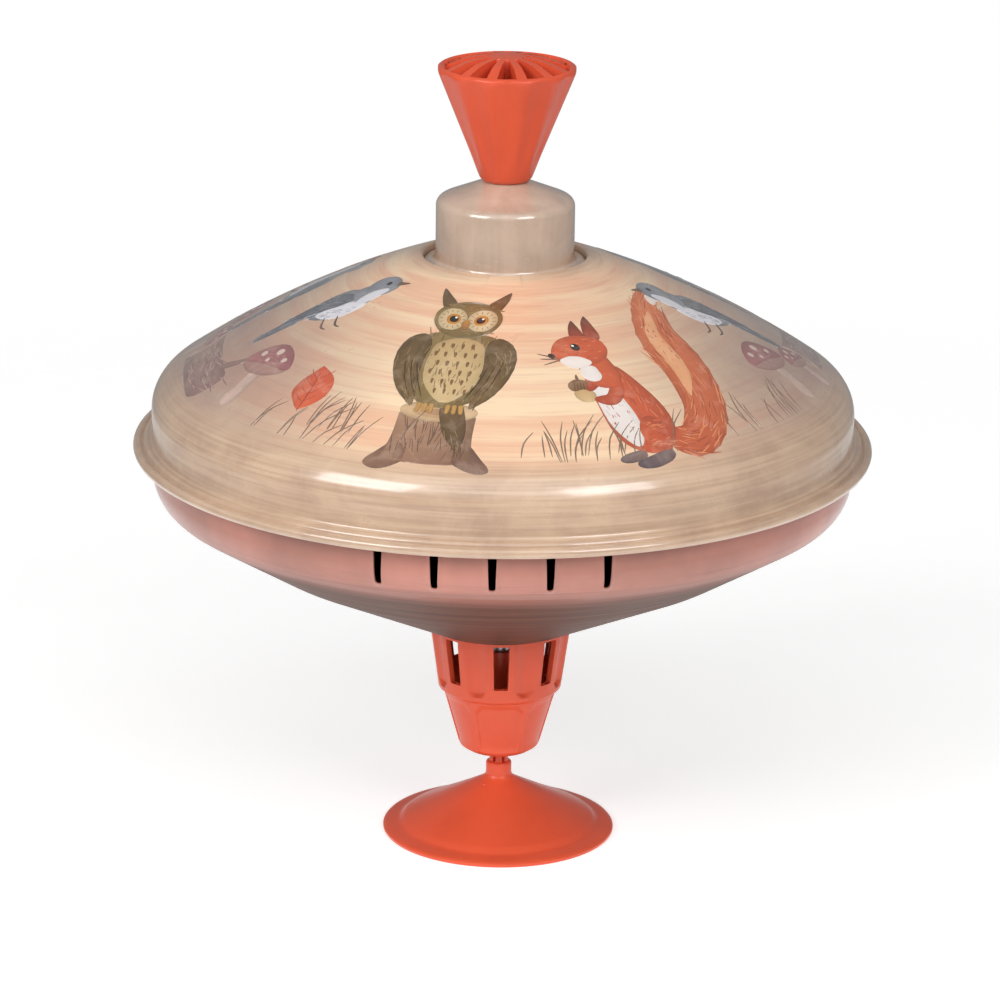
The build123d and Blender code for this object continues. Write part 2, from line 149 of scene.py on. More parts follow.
def make_mesh(name, points, faces, material, tint=None):
    """A smooth mesh object at the origin, with an optional colour for each point."""
    mesh = bpy.data.meshes.new(name)
    mesh.from_pydata(points.astype(float), [], faces)
    if tint is not None:
        colours = mesh.color_attributes.new("tint", "FLOAT_COLOR", "POINT")
        colours.data.foreach_set("color", np.ascontiguousarray(tint, dtype=np.float32).ravel())
    mesh.materials.append(material)
    piece = bpy.data.objects.new(name, mesh)
    bpy.context.scene.collection.objects.link(piece)
    return piece


def about_axis(radius, height, angle):
    """Arrays of radius, height and angle from the front as points (r sin t, -r cos t, z)."""
    return np.stack([radius * np.sin(angle), -radius * np.cos(angle), height], -1).reshape(-1, 3)


def turned(outline, columns, shape=None):
    """A closed outline carried round the axis, each point (r, z) at angle t becoming (r sin t, -r cos t, z).

    shape, when given, takes the radii, heights and angles as arrays and gives new radii and heights.
    The faces point outwards when the outline runs up on its outer side, so one that does not is reversed.
    """
    x, z = outline.T
    if np.sum(x * np.roll(z, -1) - np.roll(x, -1) * z) < 0:
        outline = outline[::-1]
    angle = np.broadcast_to(np.linspace(0, TAU, columns, endpoint=False), (len(outline), columns))
    radius = np.repeat(outline[:, :1], columns, 1)
    height = np.repeat(outline[:, 1:], columns, 1)
    if shape:
        radius, height = shape(radius, height, angle)
    faces = grid_faces(len(outline), columns, close_rows=True, close_columns=True)
    return about_axis(radius, height, angle), faces


def welded(piece, closed=True, sharp=40, distance=0.0005 * MM):
    """Merges the doubles of a piece, which closes its poles and the ends of its slots, and smooths it."""
    work = bmesh.new()
    work.from_mesh(piece.data)
    bmesh.ops.remove_doubles(work, verts=work.verts, dist=distance)
    if closed:
        bmesh.ops.recalc_face_normals(work, faces=work.faces)
    work.to_mesh(piece.data)
    work.free()
    piece.data.shade_smooth()
    piece.data.set_sharp_from_angle(angle=math.radians(sharp))
    return piece


def walled(piece, thickness, offset=-1.0, bevel=0.0):
    """Gives an open sheet its thickness, and rounds the edges when a bevel is asked for."""
    wall = piece.modifiers.new("Wall", "SOLIDIFY")
    wall.thickness = thickness
    wall.offset = offset
    wall.use_even_offset = True
    if bevel:
        edge = piece.modifiers.new("Edges", "BEVEL")
        edge.width = bevel
        edge.segments = 2
        edge.limit_method = "ANGLE"
        edge.angle_limit = math.radians(50)
        edge.harden_normals = True
    return piece


# ------------------------------ shader maths


def plug(tree, slot, value):
    """Links a wrapped socket, or sets a plain value."""
    if isinstance(value, Value):
        tree.links.new(value.socket, slot)
    else:
        slot.default_value = value


class Value:
    """One socket of a node tree. Arithmetic on it adds Math nodes."""

    def __init__(self, tree, socket):
        self.tree = tree
        self.socket = socket

    def math(self, operation, *values, clamp=False):
        """Adds one Math node."""
        node = self.tree.nodes.new("ShaderNodeMath")
        node.operation = operation
        node.use_clamp = clamp
        for slot, value in zip(node.inputs, values):
            plug(self.tree, slot, value)
        return Value(self.tree, node.outputs[0])

    def also(self, output):
        """Another output of the same node."""
        return Value(self.tree, self.socket.node.outputs[output])

    def __add__(self, other):
        return self.math("ADD", self, other)

    def __sub__(self, other):
        return self.math("SUBTRACT", self, other)

    def __rsub__(self, other):
        return self.math("SUBTRACT", other, self)

    def __mul__(self, other):
        return self.math("MULTIPLY", self, other)

    def __truediv__(self, other):
        return self.math("DIVIDE", self, other)

    def __abs__(self):
        return self.math("ABSOLUTE", self)

    __radd__ = __add__
    __rmul__ = __mul__

    def root(self):
        """Square root."""
        return self.math("SQRT", self)

    def within(self, first, last):
        """0 below first, 1 above last, and a straight run between; last may be the smaller."""
        return self.math("MULTIPLY", self - first, 1 / (last - first), clamp=True)


class Finish:
    """A material with its shader, and one method that adds any kind of node."""

    def __init__(self, name, **constants):
        self.material = bpy.data.materials.new(name)
        self.material.use_nodes = True
        self.tree = self.material.node_tree
        self.shader = self.tree.nodes["Principled BSDF"]
        for socket, value in constants.items():
            self.shader.inputs[socket.replace("_", " ")].default_value = value

    def node(self, kind, settings=None, inputs=None, output=0):
        """Adds a node: its settings first, then the values and links of its sockets."""
        node = self.tree.nodes.new("ShaderNode" + kind)
        for key, value in (settings or {}).items():
            setattr(node, key, value)
        for key, value in (inputs or {}).items():
            plug(self.tree, node.inputs[key], value)
        return Value(self.tree, node.outputs[output])

    def feed(self, socket, value):
        """Gives a socket of the shader its value or link."""
        plug(self.tree, self.shader.inputs[socket], value)

    def place(self):
        """Position on the piece, in metres."""
        return self.node("TexCoord", output="Object")

    def noise(self, vector, scale, detail=3.0, rough=0.5, distortion=0.0):
        """Cloudy noise from 0 to 1, its scale in waves to the metre."""
        inputs = {"Vector": vector, "Scale": scale, "Detail": detail, "Roughness": rough}
        return self.node("TexNoise", None, {**inputs, "Distortion": distortion})

    def mix(self, factor, first, second, blend="MIX"):
        """The first colour where the factor is 0, and the second where it is 1."""
        settings = {"data_type": "RGBA", "blend_type": blend}
        return self.node("Mix", settings, {0: factor, 6: first, 7: second}, 2)

    def stretched(self, vector, scale):
        """The vector with each part scaled, for grain that is longer one way."""
        return self.node("VectorMath", {"operation": "MULTIPLY"}, {0: vector, 1: scale})

    def bump(self, height, distance, strength=1.0):
        """Relief from heights of 0 to 1 that stand for a distance in metres."""
        inputs = {"Height": height, "Distance": distance, "Strength": strength}
        self.feed("Normal", self.node("Bump", None, inputs))

    def rings(self, across=1.0, along=1.0, climb=-1.0):
        """Radius and height in millimetres, x / r, and a vector that runs round the axis without a seam.

        The vector is (x / r, y / r) times along, and (r + climb * z) times across. Noise on it is drawn out
        in rings, on a sheet that falls as it widens when climb is -1, and on one that rises when it is 1.
        """
        x = self.node("SeparateXYZ", None, {0: self.place()})
        y, z = x.also(1), x.also(2)
        radius = (x * x + y * y + 1e-12).root()
        side = x / radius
        out = (radius + z * climb) * across
        ring = self.node("CombineXYZ", None, {0: side * along, 1: y / radius * along, 2: out})
        return radius / MM, z / MM, side, ring


def srgb(red, green, blue):
    """A colour of 0 to 255 screen values as the linear colour that a shader takes."""
    parts = [c / 255 for c in (red, green, blue)]
    return tuple(c / 12.92 if c <= 0.04045 else ((c + 0.055) / 1.055) ** 2.4 for c in parts) + (1.0,)


# ------------------------------ finishes


def lacquered_print(colours):
    """The upper shell: a cream field of soft wood rings, with painted mauve-grey shade at its left and right
    sides, in a wooden border.
    """
    finish = Finish("printed_tin_upper", Coat_Weight=0.9, Coat_Roughness=0.12, Coat_IOR=1.6)
    radius, _, side, ring = finish.rings(260.0, 0.9)
    place = finish.place()
    wash = finish.noise(place, 28, 4, 0.6)
    blot = finish.noise(place, 75, 5, 0.62, 0.4)
    streak = finish.noise(ring, 0.55, 3, 0.5, 0.3)
    line = finish.noise(finish.stretched(ring, (2.2, 2.2, 3.2)), 1.0, 4, 0.6)
    field = finish.mix((streak + (wash - 0.5) * 0.35).within(0.38, 0.62), colours.cream, colours.peach)
    field = finish.mix(line.within(0.58, 0.68) * 0.4, field, colours.streak)
    field = finish.mix(line.within(0.46, 0.4) * 0.22, field, colours.knot)

    # Painted shade: the field darkens to mauve-grey towards its left and right sides.
    mist = abs(side).within(0.4, 0.9) * radius.within(34.0, 66.0)
    field = finish.mix(mist * (0.55 + blot * 0.5), field, colours.mist)

    border = finish.mix(blot.within(0.34, 0.66), colours.border, colours.border_shade)
    border = finish.mix(line.within(0.52, 0.62) * 0.35, border, colours.border_light)
    border = finish.mix(line.within(0.47, 0.41) * 0.25, border, colours.border_line)

    edge = radius + (wash - 0.5) * 5.0 + (streak - 0.5) * 3.0
    paint = finish.mix(edge.within(81.0, 88.5), field, border)
    paint = finish.mix(edge.within(26.0, 21.5) * 0.8, paint, border)
    finish.feed("Base Color", paint)
    finish.feed("Roughness", 0.24 + blot * 0.1)
    finish.bump(blot * 0.6 + line * 0.4, 0.02 * MM, 0.5)
    return finish.material


def lacquered_lower(colours):
    """The lower shell: glossy salmon by the rim, and darker, duller rings of wood grain towards the cage."""
    finish = Finish("printed_tin_lower", Specular_IOR_Level=0.3, Coat_Roughness=0.12)
    _, height, _, ring = finish.rings(300.0, 0.8, 1.0)
    place = finish.place()
    wash = finish.noise(place, 26, 4, 0.6)
    streak = finish.noise(ring, 0.7, 4, 0.6, 0.3)
    line = finish.noise(finish.stretched(ring, (2.0, 2.0, 3.4)), 1.0, 4, 0.62)
    top = finish.mix(wash.within(0.35, 0.65), colours.salmon, colours.salmon_shade)
    cone = finish.mix(streak.within(0.36, 0.64), colours.russet, colours.russet_shade)
    cone = finish.mix(line.within(0.52, 0.66) * 0.55, cone, colours.russet_light)

    paint = finish.mix((height + (wash - 0.5) * 4).within(94.0, 86.0), top, cone)
    paint = finish.mix(line.within(0.46, 0.36) * height.within(99.0, 88.0) * 0.35, paint, colours.russet_line)
    finish.feed("Base Color", paint)
    finish.feed("Roughness", 0.46 + wash * 0.14)
    finish.feed("Coat Weight", height.within(90.0, 96.0) * 0.9)
    finish.bump(line, 0.012 * MM, 0.4)
    return finish.material


def lacquered_cap(colours):
    """The neck cap: taupe lacquer with soft blots of rose and sage."""
    finish = Finish("lacquered_tin_cap", Coat_Weight=1.0, Coat_Roughness=0.1, Coat_IOR=1.7)
    place = finish.place()
    blot = finish.noise(place, 60, 4, 0.6, 0.3)
    upright = finish.noise(finish.stretched(place, (160, 160, 24)), 1.0, 3, 0.6)
    paint = finish.mix(blot.within(0.35, 0.65), colours.cap, colours.cap_shade)
    paint = finish.mix(upright.within(0.5, 0.75) * 0.35, paint, colours.cap_grain)
    finish.feed("Base Color", paint)
    finish.feed("Roughness", 0.22 + blot * 0.1)
    finish.bump(blot, 0.02 * MM, 0.4)
    return finish.material


def shaded(colour, share):
    """A linear colour at a share of its brightness."""
    return tuple(c * share for c in colour[:3]) + (1.0,)


def moulded_plastic(name, colour, roughness):
    """Moulded plastic: a faint cloudiness in the colour and a fine satin texture."""
    finish = Finish(name, Specular_IOR_Level=0.4)
    place = finish.place()
    cloud = finish.noise(place, 60, 3, 0.5)
    skin = finish.noise(place, 900, 2, 0.5)
    finish.feed("Base Color", finish.mix(cloud.within(0.35, 0.7) * 0.7, colour, shaded(colour, 0.86)))
    finish.feed("Roughness", roughness - 0.04 + cloud * 0.1)
    finish.bump(skin, 0.01 * MM, 0.35)
    return finish.material


def turned_metal(name, colour, roughness, grain):
    """Bare metal with fine drawn or turned lines, and a little wear in its roughness."""
    finish = Finish(name, Metallic=1.0, Roughness=roughness)
    place = finish.place()
    lines = finish.noise(finish.stretched(place, grain), 1.0, 3, 0.6)
    wear = finish.noise(place, 120, 4, 0.6)
    finish.feed("Base Color", finish.mix(wear.within(0.4, 0.7) * 0.6, colour, shaded(colour, 0.72)))
    finish.feed("Roughness", roughness - 0.06 + lines * 0.12)
    finish.bump(lines, 0.01 * MM, 0.4)
    return finish.material


def printed_ink():
    """Ink of the picture: the stroke's own colour, mottled like watercolour."""
    finish = Finish("print", Coat_Weight=0.9, Coat_Roughness=0.12, Coat_IOR=1.6)
    place = finish.place()
    ink = finish.node("Attribute", {"attribute_name": "tint"})
    pool = finish.noise(place, 190, 5, 0.65, 0.6)
    paint = finish.mix(pool.within(0.35, 0.7) * 0.4, ink, (0.78, 0.75, 0.74, 1), "MULTIPLY")
    paint = finish.mix(pool.within(0.5, 0.3) * 0.14, paint, (0.9, 0.75, 0.6, 1))
    finish.feed("Base Color", paint)
    finish.feed("Roughness", 0.24 + pool * 0.1)
    finish.bump(pool, 0.01 * MM, 0.3)
    return finish.material


def table_top():
    """Matt white table top that fades out towards its edge."""
    finish = Finish("floor", Roughness=0.9, Emission_Color=(1, 1, 1, 1), Emission_Strength=0.53)
    radius, *_ = finish.rings()
    paper = finish.noise(finish.place(), 40, 3, 0.5)
    finish.feed("Base Color", finish.mix(paper, (0.74, 0.74, 0.74, 1), (0.78, 0.78, 0.78, 1)))
    finish.feed("Alpha", radius.within(540.0, 260.0))
    return finish.material


def finish_of(slot):
    """The material of a slot, made the first time it is asked for."""
    colours = bpy.context.scene.top_colours
    makers = {
        "printed_tin_upper": lambda: lacquered_print(colours),
        "printed_tin_lower": lambda: lacquered_lower(colours),
        "lacquered_tin_cap": lambda: lacquered_cap(colours),
        "orange_plastic": lambda: moulded_plastic(slot, tuple(colours.orange), 0.3),
        "inner_plastic": lambda: moulded_plastic(slot, tuple(colours.ivory), 0.45),
        "steel": lambda: turned_metal(slot, srgb(196, 196, 198), 0.3, (900, 900, 60)),
        "brass": lambda: turned_metal(slot, srgb(214, 176, 104), 0.28, (500, 500, 500)),
        "aluminium": lambda: turned_metal(slot, srgb(206, 207, 209), 0.38, (300, 1200, 300)),
        "print": printed_ink,
        "floor": table_top,
    }
    made = bpy.data.materials.get(slot + "_finish")
    if made is None:
        made = makers[slot]()
        made.name = slot + "_finish"
    return made


# ------------------------------ sheet metal


def step_up(value, start, end):
    """0 before start, 1 after end, and a smooth run t * t * (3 - 2 t) between."""
    t = np.clip((value - start) / (end - start), 0, 1)
    return t * t * (3 - 2 * t)


def from_front(angle, turn=0.0):
    """Angle from a direction, between minus pi and pi."""
    return (angle - turn + math.pi) % TAU - math.pi


def upper_line():
    """Middle of the upper shell's sheet: ledge, lip, dome, bend, wall, cove, ridge, groove and rolled bead.

    Past the lip it is a chain of arcs, and each sets out where the one before it ends, in the same direction.
    """
    half = TIN / 2
    dome = DOME_R - half
    tilt = math.degrees(DOME_TILT)
    wall = WALL_R - half

    join = 26 * MM
    out = join - DOME_CENTRE[0]
    up = math.sqrt(dome**2 - out**2)
    join_z = DOME_CENTRE[1] + up
    lip_z = join_z + (join - LIP_R) * out / up
    corners = [(LEDGE_R, SEAT_Z), (LIP_R, SEAT_Z), (LIP_R, lip_z), (join, join_z)]

    bead_r, groove_r, ridge_r, cove_r = BEAD_R - half, 0.375 * MM, 0.925 * MM, 1.225 * MM
    bead = (RIM_R - BEAD_R, SEAM_Z)
    step = (bead_r + groove_r) * math.sqrt(0.5)
    groove = (bead[0] - step, SEAM_Z + step)
    ridge = (groove[0] - groove_r - ridge_r, groove[1])
    cove = (wall + cove_r, groove[1] + ridge_r + cove_r)
    return np.concatenate([
        rounded(corners, [0.5 * MM, 0.7 * MM]),
        arc(DOME_CENTRE, dome, math.degrees(math.atan2(up, out)), tilt, 46)[1:],
        arc((BEND_R, KNUCKLE_Z), KNUCKLE_R - half, tilt, 0, 16)[1:],
        arc(cove, cove_r, 180, 270, 8),
        arc(ridge, ridge_r, 90, 0, 8),
        arc(groove, groove_r, 180, 315, 8)[1:],
        arc(bead, bead_r, 135, -150, 24)[1:],
    ])


def lower_line():
    """Middle of the lower shell's sheet: turned-up hem round the cage, two cones, bend, wall and seam."""
    hem, wall = 18.6 * MM, WALL_R - 0.425 * MM
    cones = [(hem, 58.6 * MM), (hem, 56.95 * MM), (62 * MM, 77.2 * MM), (wall, 93.96 * MM)]
    seam = [(wall, SEAM_Z), (RIM_R - 0.9 * MM, SEAM_Z)]
    return rounded(cones + seam, np.array([0.5, 30, 8.775, 1.2]) * MM, steps=9)


def lengths_along(line):
    """Length of a polyline from its start to each of its points."""
    return np.concatenate([[0], np.cumsum(np.linalg.norm(np.diff(line, axis=0), axis=1))])


def shared_line(line, marks, step):
    """Points along a line: no further apart than a step, and with one at every marked length."""
    lengths = lengths_along(line)
    places = np.unique(np.concatenate([lengths, np.arange(0, lengths[-1], step), marks]).round(8))
    return np.stack([np.interp(places, lengths, part) for part in line.T], 1), places


class Cutouts:
    """Slots with rounded corners in a turned sheet, as a grid whose columns bow round each slot.

    low and high are the heights of a slot's ends, widths its widths there, centres the angles of the slots,
    and reach the distance from a slot's middle over which the columns bow.

    At length s, a distance e from the nearer end, a slot's half-width is w - c (1 - sqrt(1 - (1 - e / c)^2)),
    where w is its straight half-width and c the corner's radius, and w past the corner. Columns beside a slot
    are moved by the part of that half-width that is left at their distance, so they meet where it is closed.
    """

    def __init__(self, line, low, high, widths, centres, reach, corners=None, step=2.2 * MM):
        self.first, self.last = (float(np.interp(z, line[:, 1], lengths_along(line))) for z in (low, high))
        self.widths = widths
        self.corners = corners or (widths[0] / 2, widths[1] / 2)
        self.reach = reach
        ends = 1 - np.cos(np.linspace(0, math.pi / 2, 8))
        spans, tops = ends * self.corners[0], ends * self.corners[1]
        halo = np.array([-1.6, -1.2, -0.9, -0.6, -0.4, -0.2]) * MM
        marks = np.concatenate([self.first + spans, self.first + halo, self.last - tops, self.last - halo])
        self.line, self.places = shared_line(line, marks, step)
        self.centres = np.asarray(centres)

    def half_width(self, places):
        """Half-width of a slot at lengths along the line, 0 beyond its ends."""
        share = np.clip((places - self.first) / (self.last - self.first), 0, 1)
        straight = (self.widths[0] + (self.widths[1] - self.widths[0]) * share) / 2
        half = straight
        for corner, from_end in zip(self.corners, (places - self.first, self.last - places)):
            along = np.clip(from_end / corner, 0, 1)
            half = np.minimum(half, straight - corner * (1 - np.sqrt(1 - (1 - along) ** 2)))
            half = np.where(from_end < -1e-9, 0, half)
        return half

    def grid(self, relief, gap_step):
        """Points and faces of the sheet with its slots left open.

        relief takes radii, heights, angles and distances from the nearest slot, for new radii and heights.
        """
        row_half = self.half_width(self.places)[:, None]
        radius = self.line[:, :1]
        near = np.array([0, 0.15, 0.3, 0.45, 0.65, 0.9, 1.25, 1.7, 2.2, 2.8, 3.4, 4.0, 4.6]) * MM
        near = near[near < self.reach * 0.96]
        order = np.argsort(self.centres)
        centres = self.centres[order]
        angles, opening = [], []
        middle_r = np.interp((self.first + self.last) / 2, self.places, self.line[:, 0])
        for centre, following in zip(centres, np.append(centres[1:], centres[0] + TAU)):
            room = (following - centre) * middle_r - 2 * self.reach
            count = max(1, round(room / gap_step))
            for side, offsets in ((1, near), (-1, near[::-1])):
                hub = centre if side > 0 else following
                for offset in offsets:
                    share = (self.reach - offset) / self.reach
                    angles.append(hub + side * (row_half * share + offset) / middle_r + 0 * radius)
                    opening.append(offset == 0 and side < 0)
                if side > 0:
                    for part in np.linspace(0, 1, count + 1):
                        angles.append(hub + (self.reach + room * part) / middle_r + 0 * radius)
                        opening.append(False)
        angle = np.concatenate(angles, 1)
        rows, columns = angle.shape
        radius = np.repeat(radius, columns, 1)
        height = np.repeat(self.line[:, 1:], columns, 1)
        beside = self.distance(angle, middle_r)
        radius, height = relief(radius, height, angle, beside)
        faces = grid_faces(rows, columns, close_columns=True).reshape(rows - 1, columns, 4)
        within = (self.places[:-1] >= self.first - 1e-9) & (self.places[1:] <= self.last + 1e-9)
        hole = within[:, None] & np.array(opening)[None]
        return about_axis(radius, height, angle), faces[~hole]

    def distance(self, angle, middle_r):
        """Distance from the nearest slot's edge, measured on the sheet."""
        off = np.min(np.abs(from_front(angle[..., None], self.centres)), -1) * middle_r
        inner = np.clip(self.places, self.first + self.corners[0], self.last - self.corners[1])[:, None]
        beyond = np.maximum(off - self.half_width(inner) + min(self.corners), 0)
        return np.hypot(beyond, self.places[:, None] - inner) - min(self.corners)


def lip_notch(radius, height, angle):
    """Presses a keyway outwards in the lip at the front, for the key of the neck cap."""
    across = np.abs(radius * np.sin(angle))
    at_front = (np.cos(angle) > 0) * step_up(across, 4.1 * MM, 3.5 * MM)
    in_lip = step_up(radius, 20.2 * MM, 20.6 * MM) * step_up(radius, 23.0 * MM, 21.6 * MM)
    return radius + 1.15 * MM * at_front * in_lip * (height > SEAT_Z + 0.3 * MM), height


def make_upper_shell():
    """The upper shell's line at the thickness of its sheet, turned round the axis."""
    points, faces = turned(thick(upper_line(), TIN), 380, lip_notch)
    return welded(make_mesh("printed_upper_shell", points, faces, finish_of("printed_tin_upper")))


def make_lower_shell(sizes):
    """The sheet stands proud by h * exp(-(d / w)^2) at distance d from a slot, as a pressed rim."""
    groups = np.arange(3)[:, None] * 120
    centres = np.radians(groups + sizes.slot_middle + (np.arange(5) - 2) * sizes.slot_pitch).ravel() % TAU
    slots = Cutouts(lower_line(), 94.9 * MM, 104.3 * MM, (1.6 * MM, 2.2 * MM), centres, reach=2.6 * MM)
    proud, spread = 0.45 * MM, 0.7 * MM

    def pressed(radius, height, angle, beside):
        return radius + proud * np.exp(-((np.maximum(beside, 0) / spread) ** 2)), height

    points, faces = slots.grid(pressed, gap_step=4.0 * MM)
    piece = make_mesh("slotted_lower_shell", points, faces, finish_of("printed_tin_lower"))
    return walled(welded(piece, closed=False), TIN, offset=0.0, bevel=0.08 * MM)


def make_neck_cap():
    """Neck, cone and flange in one drawn cap, with a key in the flange at the front."""
    neck, hole, shoulder_z = 17.4, 5.0, 170.05
    slope = math.tan(math.radians(22.2))
    flange = [(20.25, 154.175), (neck, 154.175)]
    cone = [(neck, shoulder_z), (hole, shoulder_z + (neck - hole) * slope)]
    line = rounded(np.array(flange + cone) * MM, [1.5 * MM, 2.0 * MM], steps=14)

    def key(radius, height, angle):
        across = np.abs(radius * np.sin(angle))
        at_front = (np.cos(angle) > 0) * step_up(across, 3.35 * MM, 3.2 * MM)
        return radius + 0.7 * MM * at_front * step_up(radius, 19.6 * MM, 20.2 * MM), height

    points, faces = turned(thick(spaced(line, 1.0 * MM), 0.6 * MM), 360, key)
    return welded(make_mesh("drawn_neck_cap", points, faces, finish_of("lacquered_tin_cap")))


# ------------------------------ moulded plastic


def make_foot():
    """A thin cone with a flatter brim, a hollow underside, and a stem that ends in fingers round the pin.

    The fingers stand where the stem's collar isn't pressed down to the height of the cuts between them.
    """
    brim = [(28, 0), (30.1, 0), (30.3, 0.25), (30.3, 0.8), (29.9, 1.25), (29.2, 1.45), (26.6, 1.9)]
    cone = [(26.0, 2.15), (25.4, 2.7), (24.6, 3.4), (22.0, 4.75), (17.0, 7.2), (12.0, 9.75), (8.0, 11.85)]
    stem = [(5.6, 13.15), (4.6, 13.75), (3.9, 14.3), (3.45, 14.9), (3.35, 15.4), (3.35, 18.0), (3.2, 18.35), (2.85, 18.6)]
    collar = [(2.55, 18.65), (2.42, 19.4), (2.36, 20.3), (2.28, 20.75), (2.1, 20.9), (1.2, 20.9), (1.0, 20.7)]
    bore = [(1.0, 6.5), (1.0, 5.1), (1.2, 5.0), (3.2, 5.0), (3.45, 5.3), (3.7, 11.0), (4.1, 11.5)]
    under = [(8.0, 9.6), (15.0, 6.4), (22, 3.4), (27.2, 1.0)]
    outline = np.array(brim + cone + stem + collar + bore + under) * MM
    fingers, half_cut, cut_z = 6, 0.17, 18.7 * MM

    def fingered(radius, height, angle):
        beside = np.abs((angle * fingers / TAU) % 1 - 0.5) * TAU / fingers
        cut = (height > cut_z) & (beside < half_cut) & (radius > 1.3 * MM)
        height = np.where(cut, cut_z + 0.001 * (height - cut_z), height)
        return radius, np.minimum(height, STEM_TOP_Z)

    points, faces = turned(spaced(outline, 0.8 * MM), 360, fingered)
    return welded(make_mesh("cone_foot", points, faces, finish_of("orange_plastic")))


def make_gate_mark():
    """The nub left by the mould's gate: a low dome, z = h (1 - q^4), on the cone beside the stem."""
    turn, reach, radius = math.radians(-45), 5.6 * MM, 0.5 * MM
    share = np.linspace(0, 1, 10)[:, None]
    angle = np.linspace(0, TAU, 32, endpoint=False)[None]
    x = reach * math.sin(turn) + radius * share * np.cos(angle)
    y = -reach * math.cos(turn) + radius * share * np.sin(angle)
    cone = 13.15 * MM - (np.hypot(x, y) - reach) * 0.58
    top = np.stack([x, y, cone + 0.25 * MM * (1 - share**4) + 0 * x], -1)
    below = top[::-1].copy()
    below[..., 2] = (cone - 0.4 * MM)[::-1]
    grid = np.concatenate([top, below[1:]])
    faces = grid_faces(*grid.shape[:2], close_columns=True)
    return welded(make_mesh("gate_mark", grid.reshape(-1, 3), faces, finish_of("orange_plastic")))


def make_cage():
    """Upper wall with its windows and flutes, waist, and lower wall with arched panels, as one sheet."""
    lower = [(2.7, 22.4), (8.3, 22.4), (10.45, 23.8), (14.75, 39.0)]
    upper = [(16.05, 39.9), (18.1, 54.5), (18.1, 59.9), (24.2, 59.9)]
    line = rounded(np.array(lower + upper) * MM, np.array([1.0, 1.2, 0.5, 0.4, 4.0, 1.0]) * MM, steps=8)
    count, turn = 8, math.radians(1.2)
    centres = (turn + np.arange(count) * TAU / count) % TAU
    widths, corner = (3.9 * MM, 4.1 * MM), (0.35 * MM, 0.35 * MM)
    windows = Cutouts(line, 43.6 * MM, 55.9 * MM, widths, centres, 5.2 * MM, corner, step=0.7 * MM)
    half_flute, flute_depth = 0.17, 1.1 * MM
    panels, half_panel, panel_depth = 6, 0.44, 0.45 * MM

    def moulded(radius, height, angle, beside):
        """Concave flutes between the windows with arched ends, and six shallow panels below the shoulder."""
        flute = np.abs(from_front(angle * count, turn * count + math.pi)) / count / half_flute
        arch = 40.9 * MM + 1.6 * MM * flute**2
        fluted = np.clip(1 - flute**2, 0, 1) * step_up(height, arch, arch + 1.2 * MM)
        side = np.abs(from_front(angle * panels)) / panels
        panel_top = 38.2 * MM - 2.0 * MM * (side / half_panel) ** 6
        panel = step_up(side, half_panel * 1.05, half_panel) * step_up(height, 23.4 * MM, 25.5 * MM)
        panel *= step_up(height, panel_top, panel_top - 0.4 * MM)
        below_flange = height < 57 * MM
        return radius - below_flange * (flute_depth * fluted + panel_depth * panel), height

    points, faces = windows.grid(moulded, gap_step=0.55 * MM)
    piece = make_mesh("windowed_air_cage", points, faces, finish_of("orange_plastic"))
    return walled(welded(piece, closed=False, sharp=28), 1.5 * MM, bevel=0.1 * MM)


def make_cage_core():
    """The sleeve inside the cage, which holds the guide tube, with the floor that the pivot cup sits in."""
    inner = [(2.6, 22.6), (2.6, 26.0), (0, 26.0), (0, 27.2), (3.4, 27.2), (3.4, 46.0), (4.15, 46.0)]
    outer = [(4.15, 50.0), (5.4, 50.0), (5.7, 25.0), (8.4, 24.6), (8.4, 23.2)]
    points, faces = turned(spaced(np.array(inner + outer) * MM, 1.2 * MM), 120)
    return welded(make_mesh("cage_sleeve", points, faces, finish_of("orange_plastic")))


